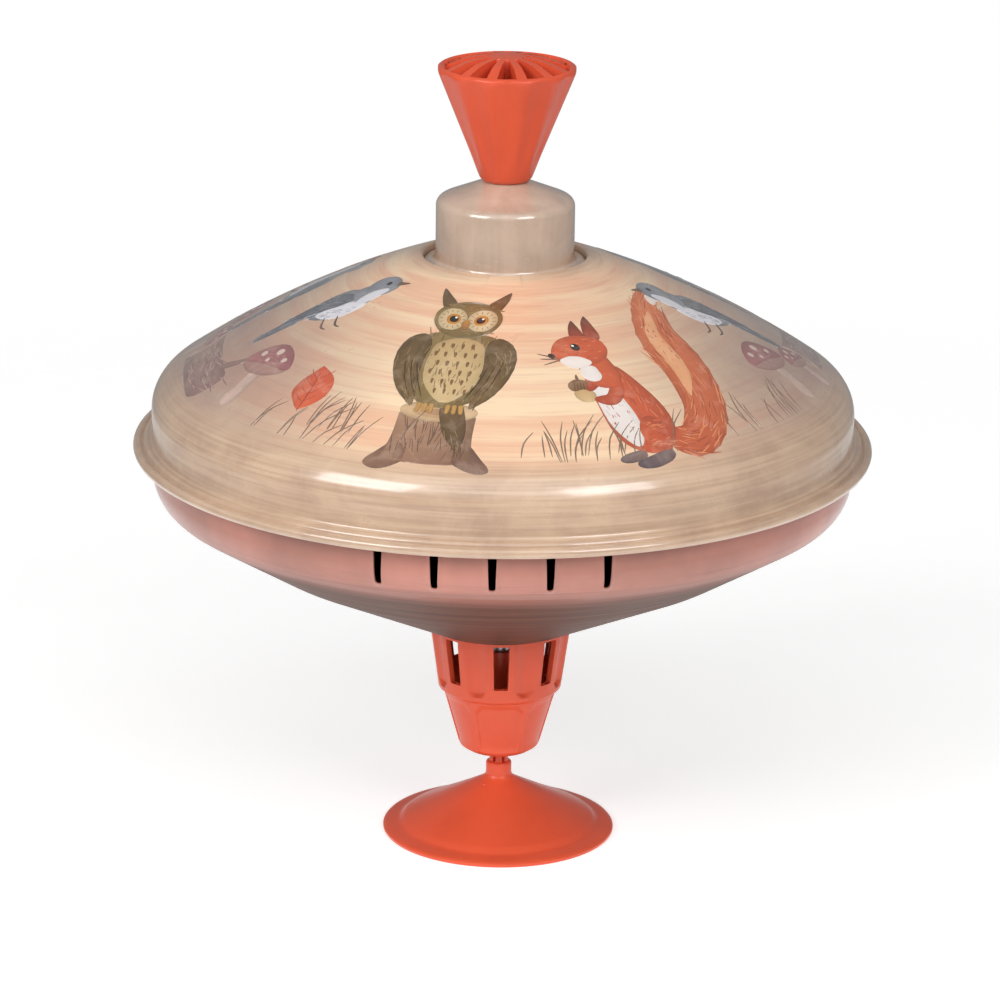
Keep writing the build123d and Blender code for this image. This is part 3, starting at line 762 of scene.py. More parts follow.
def make_knob(sizes):
    """A flared knob with pockets between its ribs.

    Each column follows one of two outlines that have the same number of points: over the top of a rib, or
    down a pocket's outer wall, along its floor and up to the hub. The two meet in the pocket's side walls.
    Outside, the radius dips by d * cos(n t)^2 in soft flutes.
    """
    count = sizes.knob_ribs
    sector = TAU / count / 2
    pocket_out, pocket_in, pocket_top, pocket_floor = 15.9 * MM, 9.2 * MM, 204.6 * MM, 188.2 * MM
    half_chord, rise = 15.6 * MM, 2.7 * MM
    crown_r = (half_chord**2 + rise**2) / (2 * rise)

    def crown(radius):
        """Height of the domed top, an arc through the axis at the highest point."""
        return TOP_Z - crown_r + np.sqrt(crown_r**2 - radius**2)

    skirt = rounded([(3.32, 175.4), (6.0, 175.4), (6.7, 176.2), (17.1, 202.0)], [0.25, 1.2], 5) * MM
    edge = [(17.45, 202.9), (17.68, 203.5), (17.72, 204.0), (17.5, 204.5), (17.1, 204.8), (16.6, 204.95)]
    outside = np.concatenate([spaced(skirt, 1.6 * MM), np.array(edge) * MM])

    wall_r = np.linspace(pocket_out, pocket_in, 12)
    floor_r = np.array([8.9, 8.0, 7.0, 6.0, 5.4]) * MM
    hub_r = np.array([5.3, 5.2, 5.1, 5.0, 4.9, 4.8]) * MM
    pocket_r = np.concatenate([wall_r, floor_r, hub_r])
    pocket_z = np.concatenate([
        pocket_top - (pocket_out - wall_r) / (pocket_out - pocket_in) * 15.8 * MM,
        np.full(len(floor_r), pocket_floor),
        np.linspace(189.5, 206.4, len(hub_r)) * MM,
    ])
    rib_r = np.linspace(pocket_out, hub_r[-1], len(pocket_r))
    rib_z = crown(rib_r) - 0.7 * MM * step_up(rib_r, 9 * MM, pocket_out)

    closing_r = np.array([4.5, 3.0, 1.5, 0.0]) * MM
    closing = np.stack([closing_r, crown(closing_r)], 1)
    lead = np.array([(16.2 * MM, crown(16.2 * MM))])
    bore = np.array([(0, 186.6), (3.32, 186.6)]) * MM
    ribs = np.concatenate([outside, lead, np.stack([rib_r, rib_z], 1), closing, bore])
    pockets = np.concatenate([outside, lead, np.stack([pocket_r, pocket_z], 1), closing, bore])

    def half_pocket(radii):
        """Half the width of a pocket, in the angle that it takes up."""
        half = np.interp(radii, [4.7 * MM, pocket_out], [0.5 * MM, 2.75 * MM])
        return np.minimum(half / np.maximum(radii, 4 * MM), sector * 0.97)

    in_pocket = np.array([-1.0, -0.97, -0.8, -0.4, 0, 0.4, 0.8, 0.97, 1.0])
    over_rib = np.array([0.0, 0.06, 0.18, 0.5, 0.82, 0.94, 1.0])
    columns = []
    for centre in np.arange(count) * TAU / count:
        columns += [centre + place * half_pocket(pockets[:, 0]) for place in in_pocket]
        start = centre + half_pocket(ribs[:, 0])
        columns += [start + place * 2 * (centre + sector - start) for place in over_rib]
    angle = np.stack(columns, 1)
    is_pocket = np.tile(np.repeat([1.0, 0.0], [len(in_pocket), len(over_rib)]), count)
    radius = ribs[:, :1] + (pockets - ribs)[:, :1] * is_pocket
    height = ribs[:, 1:] + (pockets - ribs)[:, 1:] * is_pocket

    skirted = slice(len(outside))
    flute = 0.55 * MM * np.cos(angle[skirted] * count / 2) ** 2
    flute *= step_up(height[skirted], 178 * MM, 184 * MM) * step_up(height[skirted], 204.6 * MM, 203.4 * MM)
    radius[skirted] -= flute
    faces = grid_faces(*angle.shape, close_rows=True, close_columns=True)
    piece = make_mesh("ribbed_knob", about_axis(radius, height, angle), faces, finish_of("orange_plastic"))
    return welded(piece, sharp=50)


# ------------------------------ the printed picture


def curve_through(rows, places):
    """A smooth curve through rows of any width, by the Catmull-Rom formula, at places from 0 to 1."""
    rows = np.asarray(rows, float)
    if len(rows) == 2:
        return rows[0] + (rows[1] - rows[0]) * places[:, None]
    padded = np.concatenate([[2 * rows[0] - rows[1]], rows, [2 * rows[-1] - rows[-2]]])
    at = np.clip(places * (len(rows) - 1), 0, len(rows) - 1 - 1e-9)
    start = at.astype(int)
    t = (at - start)[:, None]
    a, b, c, d = (padded[start + i] for i in range(4))
    return 0.5 * (2 * b + (c - a) * t + (2 * a - 5 * b + 4 * c - d) * t**2 + (3 * b - a - 3 * c + d) * t**3)


def both_sides(rows):
    """Rows of (x, y, left, right) from rows that may have one half-width for both sides."""
    return np.asarray([row if len(row) == 4 else (*row, row[2]) for row in rows], float)


class Picture:
    """Brush strokes of print on the dome, gathered as one piece.

    A stroke follows a curve, with a half-width to each side, in millimetres: x runs round the dome and y up
    it from the motif's place, so radius = r - y and angle = t + x / radius. Its faces lie a few hundredths of
    a millimetre over the tin, each stroke a little over the one before, and its underside is sunk in the tin.
    """

    across = np.array([-1, -0.95, -0.78, -0.42, 0, 0.42, 0.78, 0.95, 1, 0.6, 0, -0.6])
    thin = np.array([-1, -0.7, 0.7, 1, 0])

    def __init__(self):
        self.points, self.faces, self.tints, self.total = [], [], [], 0

    def at(self, radius, degrees, size=1.0, mirror=1, turn=0.0):
        """Sets the place, size, mirror and turn of the motif that follows."""
        self.place = (radius, math.radians(degrees), size, mirror, math.radians(turn))
        self.layer = 0

    def on_dome(self, x, y, lift):
        """Points at a lift over the tin, along the normal of the dome or, past its edge, of the bend."""
        radius, start, size, mirror, turn = self.place
        x, y = x * size * mirror, y * size
        x, y = x * math.cos(turn) - y * math.sin(turn), x * math.sin(turn) + y * math.cos(turn)
        r = np.maximum(radius - y, 24.0) * MM
        angle = start + x * MM / r
        out = r - DOME_CENTRE[0]
        up = np.sqrt(DOME_R**2 - out**2)
        bend_out = np.clip(r - BEND_R, 0, KNUCKLE_R * 0.999)
        bend_up = np.sqrt(KNUCKLE_R**2 - bend_out**2)
        on_bend = r > DOME_EDGE_R
        normal_r = np.where(on_bend, bend_out / KNUCKLE_R, out / DOME_R)
        normal_z = np.where(on_bend, bend_up / KNUCKLE_R, up / DOME_R)
        height = np.where(on_bend, KNUCKLE_Z + bend_up, DOME_CENTRE[1] + up)
        return about_axis(r + normal_r * lift, height + normal_z * lift, angle)

    def stroke(self, rows, colour, end=None, blunt=(0.2, 0.2), steps=16, edge=0.72, light=0.0, fine=False):
        """One stroke through rows of (x, y, half-width) or (x, y, left, right).

        Near a blunt end the width is times sqrt(1 - (1 - e)^2). The colour runs from colour to end along it,
        and times edge at its borders; light is how much the right side is paler than the left.
        """
        rows = both_sides(rows)
        places = (1 - np.cos(np.linspace(0, math.pi, steps))) / 2
        line = curve_through(rows, places)
        round_off = np.ones(steps)
        for reach, away in zip(blunt, (places, 1 - places)):
            near = np.clip(away / max(reach, 1e-6), 0, 1)
            round_off *= np.sqrt(1 - (1 - near) ** 2)
        round_off[[0, -1]] = 0
        widths = np.maximum(line[:, 2:], 0) * round_off[:, None]
        way = np.gradient(line[:, :2], axis=0)
        way /= np.maximum(np.linalg.norm(way, axis=1), 1e-9)[:, None]
        side = self.thin if fine else self.across
        reach = np.where(side[None] < 0, widths[:, :1], widths[:, 1:]) * side[None]
        x = line[:, :1] + way[:, 1:] * reach
        y = line[:, 1:2] - way[:, :1] * reach
        tops = 4 if fine else 9
        lift = np.full(len(side), 0.03 + 0.004 * self.layer)
        lift[[0, tops - 1]] = 0.0
        lift[tops:] = -0.1
        taper = np.clip(widths.max(1) / 0.1, 0, 1)[:, None]
        self.add(x, y, lift[None] * taper * MM, side, places, colour, end, edge, light)
        self.layer += 1

    def add(self, x, y, lift, side, places, colour, end, edge, light):
        """Puts a stroke's points, faces and tints with those before it."""
        first = np.array(srgb(*colour))
        last = first if end is None else np.array(srgb(*end))
        tint = first + (last - first) * places[:, None, None] + 0 * side[None, :, None]
        tone = edge + (1 - edge) * (1 - np.abs(side) ** 3)
        tint[..., :3] *= (tone * (1 + light * side))[None, :, None]
        self.points.append(self.on_dome(x, y, lift))
        self.faces.append(grid_faces(*x.shape, close_columns=True) + self.total)
        self.tints.append(tint.reshape(-1, 4))
        self.total += x.size

    def disc(self, x, y, radius, colour, tall=1.0, **settings):
        """A round or oval spot, tall times as high as it is wide."""
        rows = [(x, y - radius * tall, radius), (x, y + radius * tall, radius)]
        self.stroke(rows, colour, blunt=(0.5, 0.5), steps=12, **settings)

    def line(self, rows, colour, width=0.22):
        """A thin pencil line through rows of (x, y), pointed at both ends."""
        self.stroke([(x, y, width) for x, y in rows], colour, blunt=(0.4, 0.7), steps=9, edge=1.0, fine=True)

    def fur(self, rows, colours, count, length=2.6, width=0.2, spread=0.85, seed=1):
        """Short hairs or bark lines that follow a stroke's curve, at seeded random places across it."""
        rng = np.random.default_rng(seed)
        rows = both_sides(rows)
        places = rng.uniform(0.06, 0.9, count)
        sides = rng.uniform(-spread, spread, count)
        here = curve_through(rows, places)
        ahead = curve_through(rows, np.minimum(places + 0.03, 1.0)) - here
        way = ahead[:, :2] / np.maximum(np.linalg.norm(ahead[:, :2], axis=1), 1e-9)[:, None]
        reach = np.where(sides < 0, here[:, 2], here[:, 3]) * sides
        x, y = here[:, 0] + way[:, 1] * reach, here[:, 1] - way[:, 0] * reach
        sway = rng.uniform(-0.35, 0.35, count)
        sizes = length * rng.uniform(0.6, 1.3, count)
        picks = rng.integers(0, len(colours), count)
        mean = np.mean(colours, axis=0)
        for x0, y0, (wx, wy), lean, size, pick in zip(x, y, way, sway, sizes, picks):
            dx, dy = (wx - wy * lean) * size, (wy + wx * lean) * size
            self.line([(x0, y0), (x0 + dx, y0 + dy)], mean + (colours[pick] - mean) * 0.7, width * 0.8)
            self.layer -= 1
        self.layer += 1

    def piece(self, name):
        """The strokes so far as one mesh piece."""
        points, faces = np.concatenate(self.points), np.concatenate(self.faces)
        piece = make_mesh(name, points, faces, finish_of("print"), np.concatenate(self.tints))
        return welded(piece, distance=0.00002 * MM)


BARK = [(112, 84, 70), (170, 134, 110), (92, 66, 56)]


def draw_stump(ink):
    """A cut stump with a ringed top, bark lines and two roots."""
    trunk = [(0, -1, 12.5), (0, 5, 10.2), (0, 13, 9.6)]
    ink.stroke([(-6, 3, 3.4), (-11, -0.5, 2.6), (-15.5, -2.0, 1.0)], (140, 104, 84))
    ink.stroke([(7, 3, 3.4), (12, -0.5, 2.2), (16, -2.2, 0.8)], (128, 94, 78))
    ink.stroke(trunk, (150, 112, 90), (172, 134, 106), blunt=(0.12, 0.02), light=-0.18)
    ink.fur(trunk, BARK, 70, 4.0, 0.2, seed=3)
    ink.stroke([(-9.8, 13.4, 3.0), (9.8, 13.4, 3.0)], (214, 180, 140), blunt=(0.5, 0.5), edge=0.6)
    ink.stroke([(-6.6, 13.4, 1.9), (6.6, 13.4, 1.9)], (198, 160, 120), blunt=(0.5, 0.5), edge=0.85)
    ink.stroke([(-3.4, 13.3, 0.9), (3.4, 13.3, 0.9)], (180, 140, 104), blunt=(0.5, 0.5), edge=0.85)


def draw_owl(ink):
    """A round owl with ear tufts, a barred chest and folded wings, on a stump."""
    draw_stump(ink)
    tail = [(2, 17, 3.2), (5, 9, 3.0), (7, 4, 1.4)]
    ink.stroke(tail, (118, 92, 60), (96, 74, 52))
    ink.fur(tail, [(82, 62, 44), (156, 128, 84)], 16, 3.5, seed=4)
    body = [(0, 14.5, 7.6), (0, 22, 11.0), (0, 31, 11.2), (0, 39, 8.4)]
    ink.stroke(body, (134, 112, 70), (148, 124, 78), blunt=(0.22, 0.1), steps=22, light=-0.1)
    ink.fur(body, [(102, 82, 52), (170, 144, 92), (122, 100, 62)], 120, 2.6, 0.2, seed=5)
    chest = [(0.5, 16, 4.6), (0.5, 24, 7.4), (0.3, 32, 7.0), (0, 37, 5.0)]
    ink.stroke(chest, (214, 186, 138), (196, 164, 114), blunt=(0.3, 0.2), edge=0.82)
    for row in range(6):
        for column in range(-2, 3):
            x = column * 2.5 + (row % 2) * 1.2 - 0.6 + 0.5
            y = 19.5 + row * 2.9
            if abs(x) < 6.2 - 0.11 * (y - 26) ** 2 / 4:
                fleck = [(x, y + 1.0, 0.6), (x, y - 0.9, 0.35)]
                ink.stroke(fleck, (138, 104, 66), blunt=(0.4, 0.6), steps=6, fine=True)
    for side in (-1, 1):
        wing = [(8.4, 37, 3.0), (11.4, 30, 4.0), (10.6, 22, 3.2), (7.2, 14.6, 0.9)]
        wing = [(side * x, y, half) for x, y, half in wing]
        ink.stroke(wing, (104, 82, 52), (128, 102, 66), edge=0.66)
        ink.fur(wing, [(78, 60, 42), (160, 134, 92)], 34, 3.6, 0.22, seed=7 + side)
        for drop in range(3):
            quill = [(12.4, 30 - drop), (11.2, 23), (8.6, 17)]
            ink.line([(side * (x - drop * 1.7), y) for x, y in quill], (70, 54, 40), 0.24)
        for toe in (-1.5, 0, 1.5):
            claw = [(side * 3.6 + toe, 15.6, 0.7), (side * 3.8 + toe * 1.2, 12.9, 0.5)]
            ink.stroke(claw, (196, 150, 84), steps=8)
    head = [(-8.6, 43.5, 6.8), (8.6, 43.5, 6.8)]
    ink.stroke(head, (146, 122, 78), (130, 108, 68), blunt=(0.5, 0.5), steps=22, edge=0.7)
    for side in (-1, 1):
        tuft = [(side * 5.2, 47.6, 2.2), (side * 7.2, 51, 1.4), (side * 8.6, 54.2, 0.2)]
        ink.stroke(tuft, (118, 94, 60), (88, 68, 48))
    ink.fur([(-8, 43.5, 6.4), (8, 43.5, 6.4)], [(104, 84, 52), (172, 146, 96)], 60, 1.8, 0.18, seed=11)
    for side in (-1, 1):
        ink.disc(side * 3.8, 43.2, 3.9, (216, 192, 150), 1.02, edge=0.7)
        for spoke in range(14):
            angle = spoke * TAU / 14
            ring = [(side * 3.8 + math.cos(angle) * k, 43.2 + math.sin(angle) * k) for k in (2.3, 3.6)]
            ink.line(ring, (150, 120, 80), 0.16)
            ink.layer -= 1
        ink.layer += 1
        ink.disc(side * 3.5, 43.2, 1.9, (206, 140, 58))
        ink.disc(side * 3.4, 43.2, 1.2, (38, 30, 28), edge=1.0)
        ink.disc(side * 3.4 + 0.45, 43.8, 0.35, (250, 246, 240), edge=1.0)
    beak = [(0, 43.2, 1.0), (0, 41.2, 1.1), (0, 39.4, 0.3)]
    ink.stroke(beak, (196, 142, 76), (150, 100, 56), blunt=(0.3, 0.3))


def draw_squirrel(ink):
    """A red squirrel that stands with an acorn in its paws, its tail curled up behind it."""
    tail = [(4, 5, 2.4), (12, 3.5, 4.6), (19, 10, 6.2), (20.5, 21, 7.0), (18.5, 32, 6.6)]
    tail += [(22.5, 41, 5.0), (27.5, 42.5, 1.4)]
    ink.stroke(tail, (196, 92, 58), (222, 128, 82), blunt=(0.06, 0.12), steps=30, edge=0.74)
    ink.fur(tail, [(160, 66, 42), (238, 158, 108), (212, 112, 70)], 190, 4.4, 0.24, spread=1.0, seed=21)
    tail_light = [(17, 14, 0.8), (18.6, 22, 2.4), (17.2, 32, 2.2), (21, 39.5, 1.2)]
    ink.stroke(tail_light, (238, 172, 124), steps=20, edge=0.92)
    ink.stroke([(24.2, 41.6, 1.9), (27.0, 42.2, 1.7), (29.6, 40.6, 0.4)], (246, 232, 220), edge=0.86)
    body = [(0.5, 1.5, 6.4), (0, 10, 8.2), (-1.6, 19, 6.6), (-3.4, 26, 4.6)]
    ink.stroke(body, (202, 92, 60), (216, 104, 66), blunt=(0.2, 0.1), steps=22, light=-0.08)
    ink.fur(body, [(168, 70, 46), (232, 138, 92), (188, 84, 54)], 100, 2.6, 0.2, seed=22)
    belly = [(-3.2, 3.5, 2.8), (-4.0, 11, 3.9), (-4.6, 18, 3.2), (-4.9, 24, 2.2)]
    ink.stroke(belly, (238, 226, 220), (246, 238, 232), blunt=(0.3, 0.2), edge=0.88)
    ink.fur(belly, [(206, 188, 186), (250, 246, 244)], 26, 2.2, 0.16, seed=23)
    haunch = [(-1.5, 6.0, 4.6), (5.5, 6.4, 5.4)]
    ink.stroke(haunch, (208, 98, 62), (190, 84, 54), blunt=(0.5, 0.5), edge=0.7)
    ink.fur(haunch, [(166, 70, 46), (234, 142, 96)], 40, 2.2, 0.2, seed=24)
    near_foot = [(4.5, 1.2, 1.4), (-1.5, -0.4, 1.5), (-6.2, -0.8, 0.9)]
    ink.stroke(near_foot, (122, 100, 98), (96, 84, 88), steps=12)
    far_foot = [(-2.5, 1.8, 1.2), (-7.0, 1.0, 1.2), (-9.8, 0.6, 0.6)]
    ink.stroke(far_foot, (136, 110, 104), (100, 86, 88), steps=12)
    acorn = [(-9.8, 16.4, 2.4), (-9.6, 20.2, 2.7)]
    ink.stroke(acorn, (222, 190, 142), (206, 168, 118), blunt=(0.45, 0.4), edge=0.74)
    ink.stroke([(-12.6, 20.4, 1.2), (-9.7, 21.6, 1.6), (-6.8, 20.4, 1.2)], (142, 106, 74), edge=0.7)
    ink.line([(-9.7, 22.6), (-9.2, 24.6)], (110, 80, 56), 0.4)
    for hatch in np.linspace(-11.6, -7.8, 6):
        ink.line([(hatch, 19.8), (hatch + 0.8, 22.2)], (100, 72, 52), 0.16)
    near_arm = [(0.2, 21.5, 1.9), (-3.6, 16.8, 1.7), (-8.2, 17.0, 1.1)]
    ink.stroke(near_arm, (206, 96, 62), (180, 80, 54), blunt=(0.3, 0.3))
    far_arm = [(-3.2, 23.5, 1.5), (-6.2, 21.6, 1.3), (-8.6, 19.6, 1.0)]
    ink.stroke(far_arm, (196, 88, 58), (172, 76, 52), blunt=(0.3, 0.3))
    neck = [(-1.6, 20, 4.6), (-3.2, 26, 4.4), (-3.4, 31, 4.2)]
    ink.stroke(neck, (208, 98, 62), (212, 104, 66), blunt=(0.3, 0.3))
    ink.stroke([(-5.2, 22, 2.4), (-5.6, 27, 2.2)], (244, 234, 228), blunt=(0.4, 0.3), edge=0.9)
    head = [(-12.0, 30.2, 3.4), (-6.0, 31.4, 5.0), (2.2, 32.6, 5.6)]
    for lean, tall in ((-3.4, 40.6), (0.4, 41.6)):
        ear = [(lean, 34.2, 2.3), (lean + 0.5, tall - 2.0, 1.4), (lean + 1.2, tall + 1.0, 0.2)]
        ink.stroke(ear, (178, 80, 54), (92, 58, 50))
    ink.stroke(head, (212, 104, 66), (208, 96, 62), blunt=(0.45, 0.5), steps=20, edge=0.74)
    ink.fur([(-10, 31, 3.2), (0.6, 32.6, 4.6)], [(170, 72, 46), (236, 146, 98)], 40, 1.6, 0.18, seed=25)
    chin = [(-11.0, 28.9, 1.2), (-7.4, 28.2, 2.0), (-3.6, 27.8, 1.3)]
    ink.stroke(chin, (246, 234, 226), blunt=(0.4, 0.4), edge=0.9)
    ink.disc(-5.4, 32.8, 1.15, (34, 26, 26), edge=1.0)
    ink.disc(-5.8, 33.3, 0.36, (250, 246, 240), edge=1.0)
    ink.disc(-12.2, 30.6, 0.85, (70, 44, 42), 0.9, edge=1.0)
    for lift in (-1.2, 0.2, 1.4):
        ink.line([(-10.2, 29.4), (-15.4, 29.6 + lift * 1.4)], (96, 78, 70), 0.13)


def draw_bird(ink):
    """A small grey bird in profile, with a white breast, a folded wing and a long tail."""
    tail = [(6, 6.5, 1.4), (12, 3.4, 1.3), (17.5, 0.8, 0.9)]
    ink.stroke(tail, (124, 126, 134), (98, 102, 112), steps=12)
    ink.fur(tail, [(82, 86, 98), (160, 164, 170)], 14, 3.0, 0.16, seed=31)
    body = [(-6.5, 8.2, 3.6), (0, 7.6, 5.0), (7, 6.4, 2.2)]
    ink.stroke(body, (158, 162, 168), (128, 132, 140), blunt=(0.4, 0.2), steps=20)
    ink.stroke([(-7, 6.4, 2.0), (-1, 5.2, 2.6), (4, 5.0, 1.0)], (238, 236, 242), blunt=(0.4, 0.3), edge=0.88)
    ink.fur(body, [(112, 116, 126), (192, 196, 202)], 60, 2.2, 0.16, seed=32)
    wing = [(-4, 9.2, 1.6), (1.5, 9.0, 2.6), (8.5, 6.4, 1.2), (12, 5.0, 0.2)]
    ink.stroke(wing, (112, 116, 124), (92, 96, 106), blunt=(0.3, 0.1), steps=18, edge=0.66)
    ink.fur(wing, [(76, 80, 92), (150, 154, 162)], 26, 3.2, 0.18, seed=33)
    ink.stroke([(-3.6, 8.4, 4.0), (-7.4, 11.4, 3.0)], (148, 152, 160), (140, 144, 152), blunt=(0.4, 0.4))
    ink.disc(-8.4, 12.2, 3.9, (140, 144, 152), 0.92, edge=0.74)
    throat = [(-10.4, 10.8, 1.2), (-7.4, 9.2, 1.7), (-4.6, 6.6, 1.9)]
    ink.stroke(throat, (228, 228, 234), blunt=(0.5, 0.5), steps=10, edge=0.9)
    ink.disc(-9.4, 13.0, 0.62, (30, 28, 32), edge=1.0)
    ink.stroke([(-11.4, 12.4, 0.8), (-14.2, 11.8, 0.15)], (112, 94, 76), steps=8)
    for leg in (-2.2, 0.8):
        ink.line([(leg, 3.6), (leg - 0.6, 0.4), (leg - 2.0, -0.8)], (104, 84, 76), 0.26)


def draw_mushroom(ink):
    """A mushroom with a pale stem, a domed cap and spots."""
    stem = [(0, -1, 2.6), (0.3, 5, 1.9), (0, 9, 2.2)]
    ink.stroke(stem, (216, 186, 170), (196, 164, 150), blunt=(0.2, 0.1), light=-0.12)
    ink.fur([(0, 0, 2.0), (0, 8, 1.8)], [(178, 146, 136), (232, 206, 192)], 14, 3.0, 0.14, seed=41)
    ink.stroke([(-7.4, 9.6, 1.5), (0, 9.2, 1.9), (7.4, 9.6, 1.5)], (176, 136, 126), blunt=(0.4, 0.4))
    cap = [(-7.8, 10.4, 0.7), (-4, 11, 3.6), (0, 11.2, 5.0), (4, 11, 3.6), (7.8, 10.4, 0.7)]
    cap = [(x, y, dome, 1.0) for x, y, dome in cap]
    ink.stroke(cap, (176, 118, 116), (160, 104, 106), blunt=(0.1, 0.1), steps=22)
    ink.fur([(-5, 12, 2.0), (5, 12, 2.0)], [(146, 94, 96), (200, 148, 142)], 34, 2.0, 0.18, seed=42)
    for x, y, r in ((-3.8, 12.6, 0.9), (0.4, 14.0, 1.1), (4.0, 12.2, 0.8), (-0.8, 11.4, 0.6)):
        ink.disc(x, y, r, (226, 200, 186), 0.8)


def draw_log(ink):
    """A fallen log, its cut end ringed, its bark drawn in long lines."""
    trunk = [(-13, 3.2, 4.2), (0, 3.6, 4.0), (13, 3.0, 3.8)]
    ink.stroke(trunk, (174, 140, 130), (156, 122, 116), blunt=(0.03, 0.1), steps=20)
    ink.fur(trunk, [(128, 98, 94), (204, 172, 158), (150, 118, 110)], 90, 4.6, 0.2, spread=0.9, seed=51)
    ink.stroke([(-13, -0.6, 2.2), (-13, 7.2, 2.2)], (214, 178, 158), blunt=(0.5, 0.5), edge=0.66)
    ink.stroke([(-13, 1.2, 1.1), (-13, 5.4, 1.1)], (190, 150, 132), blunt=(0.5, 0.5), edge=0.8, steps=10)
    ink.stroke([(6, 6.4, 1.2), (9, 9.6, 0.9), (10.4, 12.2, 0.4)], (156, 122, 112), steps=10)


def draw_leaf(ink):
    """A broad autumn leaf with a midrib and side veins."""
    blade = [(0, -5.2, 0.8), (0.4, -1.2, 4.6), (0, 3.0, 4.2), (-0.8, 7.2, 0.2)]
    ink.stroke(blade, (222, 104, 66), (204, 88, 58), blunt=(0.1, 0.05), steps=22, edge=0.8, light=0.1)
    ink.line([(0.1, -5.8), (0.2, 0), (-0.6, 6.4)], (160, 66, 48), 0.26)
    for row in range(4):
        y = -3.2 + row * 2.2
        for side in (-1, 1):
            ink.line([(0.1, y), (side * 2.0, y + 1.4), (side * 3.2, y + 2.8)], (176, 74, 52), 0.16)


def draw_grass(ink, seed, count=14, width=16, tall=12.0):
    """A tuft of bent pencil blades at seeded places."""
    rng = np.random.default_rng(seed)
    limits = ((-width, width), (-0.2, 0.9), (0.5, 1.0))
    for x, lean, size in zip(*(rng.uniform(low, high, count) for low, high in limits)):
        h = tall * size
        ink.line([(x, 0), (x + lean * h * 0.25, h * 0.55), (x + lean * h * 0.8, h)], (132, 108, 90), 0.2)


def make_pictures():
    """Draws the scene twice, on opposite sides of the dome, as four pieces of print."""
    owls, squirrels, birds, grounds = (Picture() for _ in range(4))
    for turn in (0, 180):
        owls.at(83.5, turn - 13, 1.0)
        draw_owl(owls)
        squirrels.at(84.5, turn + 27, 1.05)
        draw_squirrel(squirrels)
        birds.at(53.0, turn - 60, 1.25, mirror=-1, turn=38)
        draw_bird(birds)
        birds.at(58.0, turn + 72, 1.25, turn=-38)
        draw_bird(birds)
        grounds.at(80.0, turn - 60, 1.2, turn=8)
        draw_mushroom(grounds)
        grounds.at(82.0, turn - 80, 1.25, turn=-6)
        draw_log(grounds)
        grounds.at(70.0, turn - 43, 1.1, turn=12)
        draw_leaf(grounds)
        grounds.at(81.0, turn + 72, 1.15, turn=-10)
        draw_mushroom(grounds)
        grounds.at(83.0, turn + 83, 0.8, turn=-10)
        draw_mushroom(grounds)
        for number, (radius, degrees) in enumerate(((83, -38), (82, 10), (83, 55), (79, -30), (83.5, 20))):
            grounds.at(radius, turn + degrees)
            draw_grass(grounds, 60 + number)
    names = ("printed_owls", "printed_squirrels", "printed_birds", "printed_ground")
    return [ink.piece(name) for ink, name in zip((owls, squirrels, birds, grounds), names)]


# ------------------------------ stage


def add_object(name, data):
    """Puts a lamp or a camera in the scene."""
    thing = bpy.data.objects.new(name, data)
    bpy.context.scene.collection.objects.link(thing)
    return thing


def make_camera():
    """A long lens a little above the table, turned slightly about its own line of sight."""
    distance, elevation, roll = 1.3, math.radians(17.428), math.radians(0.701)
    look = Vector((0, 0, 89.965 * MM))
    data = bpy.data.cameras.new("camera")
    data.sensor_width = 36
    data.lens = 180.7
    data.shift_x = -0.0019
    camera = add_object("camera", data)
    back = Vector((0, -math.cos(elevation), math.sin(elevation)))
    up = Vector((0, math.sin(elevation), math.cos(elevation)))
    right = Vector((1, 0, 0))
    across = right * math.cos(roll) + up * math.sin(roll)
    along = up * math.cos(roll) - right * math.sin(roll)
    camera.matrix_world = Matrix((across, along, back)).transposed().to_4x4()
    camera.location = look + back * distance
    bpy.context.scene.camera = camera


def softbox(name, azimuth, elevation, distance, width, height, power):
    """A square light aimed at the top, at an angle from the front and above the table."""
    data = bpy.data.lights.new(name, "AREA")
    data.shape = "RECTANGLE"
    data.size, data.size_y = width, height
    data.energy = power
    light = add_object(name, data)
    middle = Vector((0, 0, 0.12))
    turn, rise = math.radians(azimuth), math.radians(elevation)
    way = Vector((math.sin(turn) * math.cos(rise), -math.cos(turn) * math.cos(rise), math.sin(rise)))
    light.location = middle + way * distance
    light.rotation_mode = "QUATERNION"
    light.rotation_quaternion = (middle - light.location).to_track_quat("-Z", "Y")


def make_floor():
    """A round pale table top, rings of points spaced by radius = R * share^2."""
    share = np.linspace(0, 1, 24)[:, None]
    angle = np.linspace(0, TAU, 64, endpoint=False)[None]
    radius = FLOOR_R * share**2 + 0 * angle
    points = about_axis(radius, np.full(radius.shape, -0.02 * MM), angle + 0 * share)
    faces = grid_faces(*radius.shape, close_columns=True)
    piece = welded(make_mesh("floor", points, faces, finish_of("floor")), closed=False)
    if piece.data.polygons[0].normal.z < 0:
        piece.data.flip_normals()
    return piece


def light_world(strength):
    """White surroundings: full white to the camera, and softer to everything else."""
    world = bpy.data.worlds.new("studio")
    world.use_nodes = True
    tree = world.node_tree
    ground = tree.nodes["Background"]
    path = tree.nodes.new("ShaderNodeLightPath")
    seen = Value(tree, path.outputs["Is Camera Ray"])
    ground.inputs["Color"].default_value = (1, 1, 1, 1)
    plug(tree, ground.inputs["Strength"], seen * (1.0 - strength) + strength)
    bpy.context.scene.world = world


# ------------------------------ the add-on


class TopColours(bpy.types.PropertyGroup):
    """Colours of the printed and lacquered tin, and of the moulded plastic."""


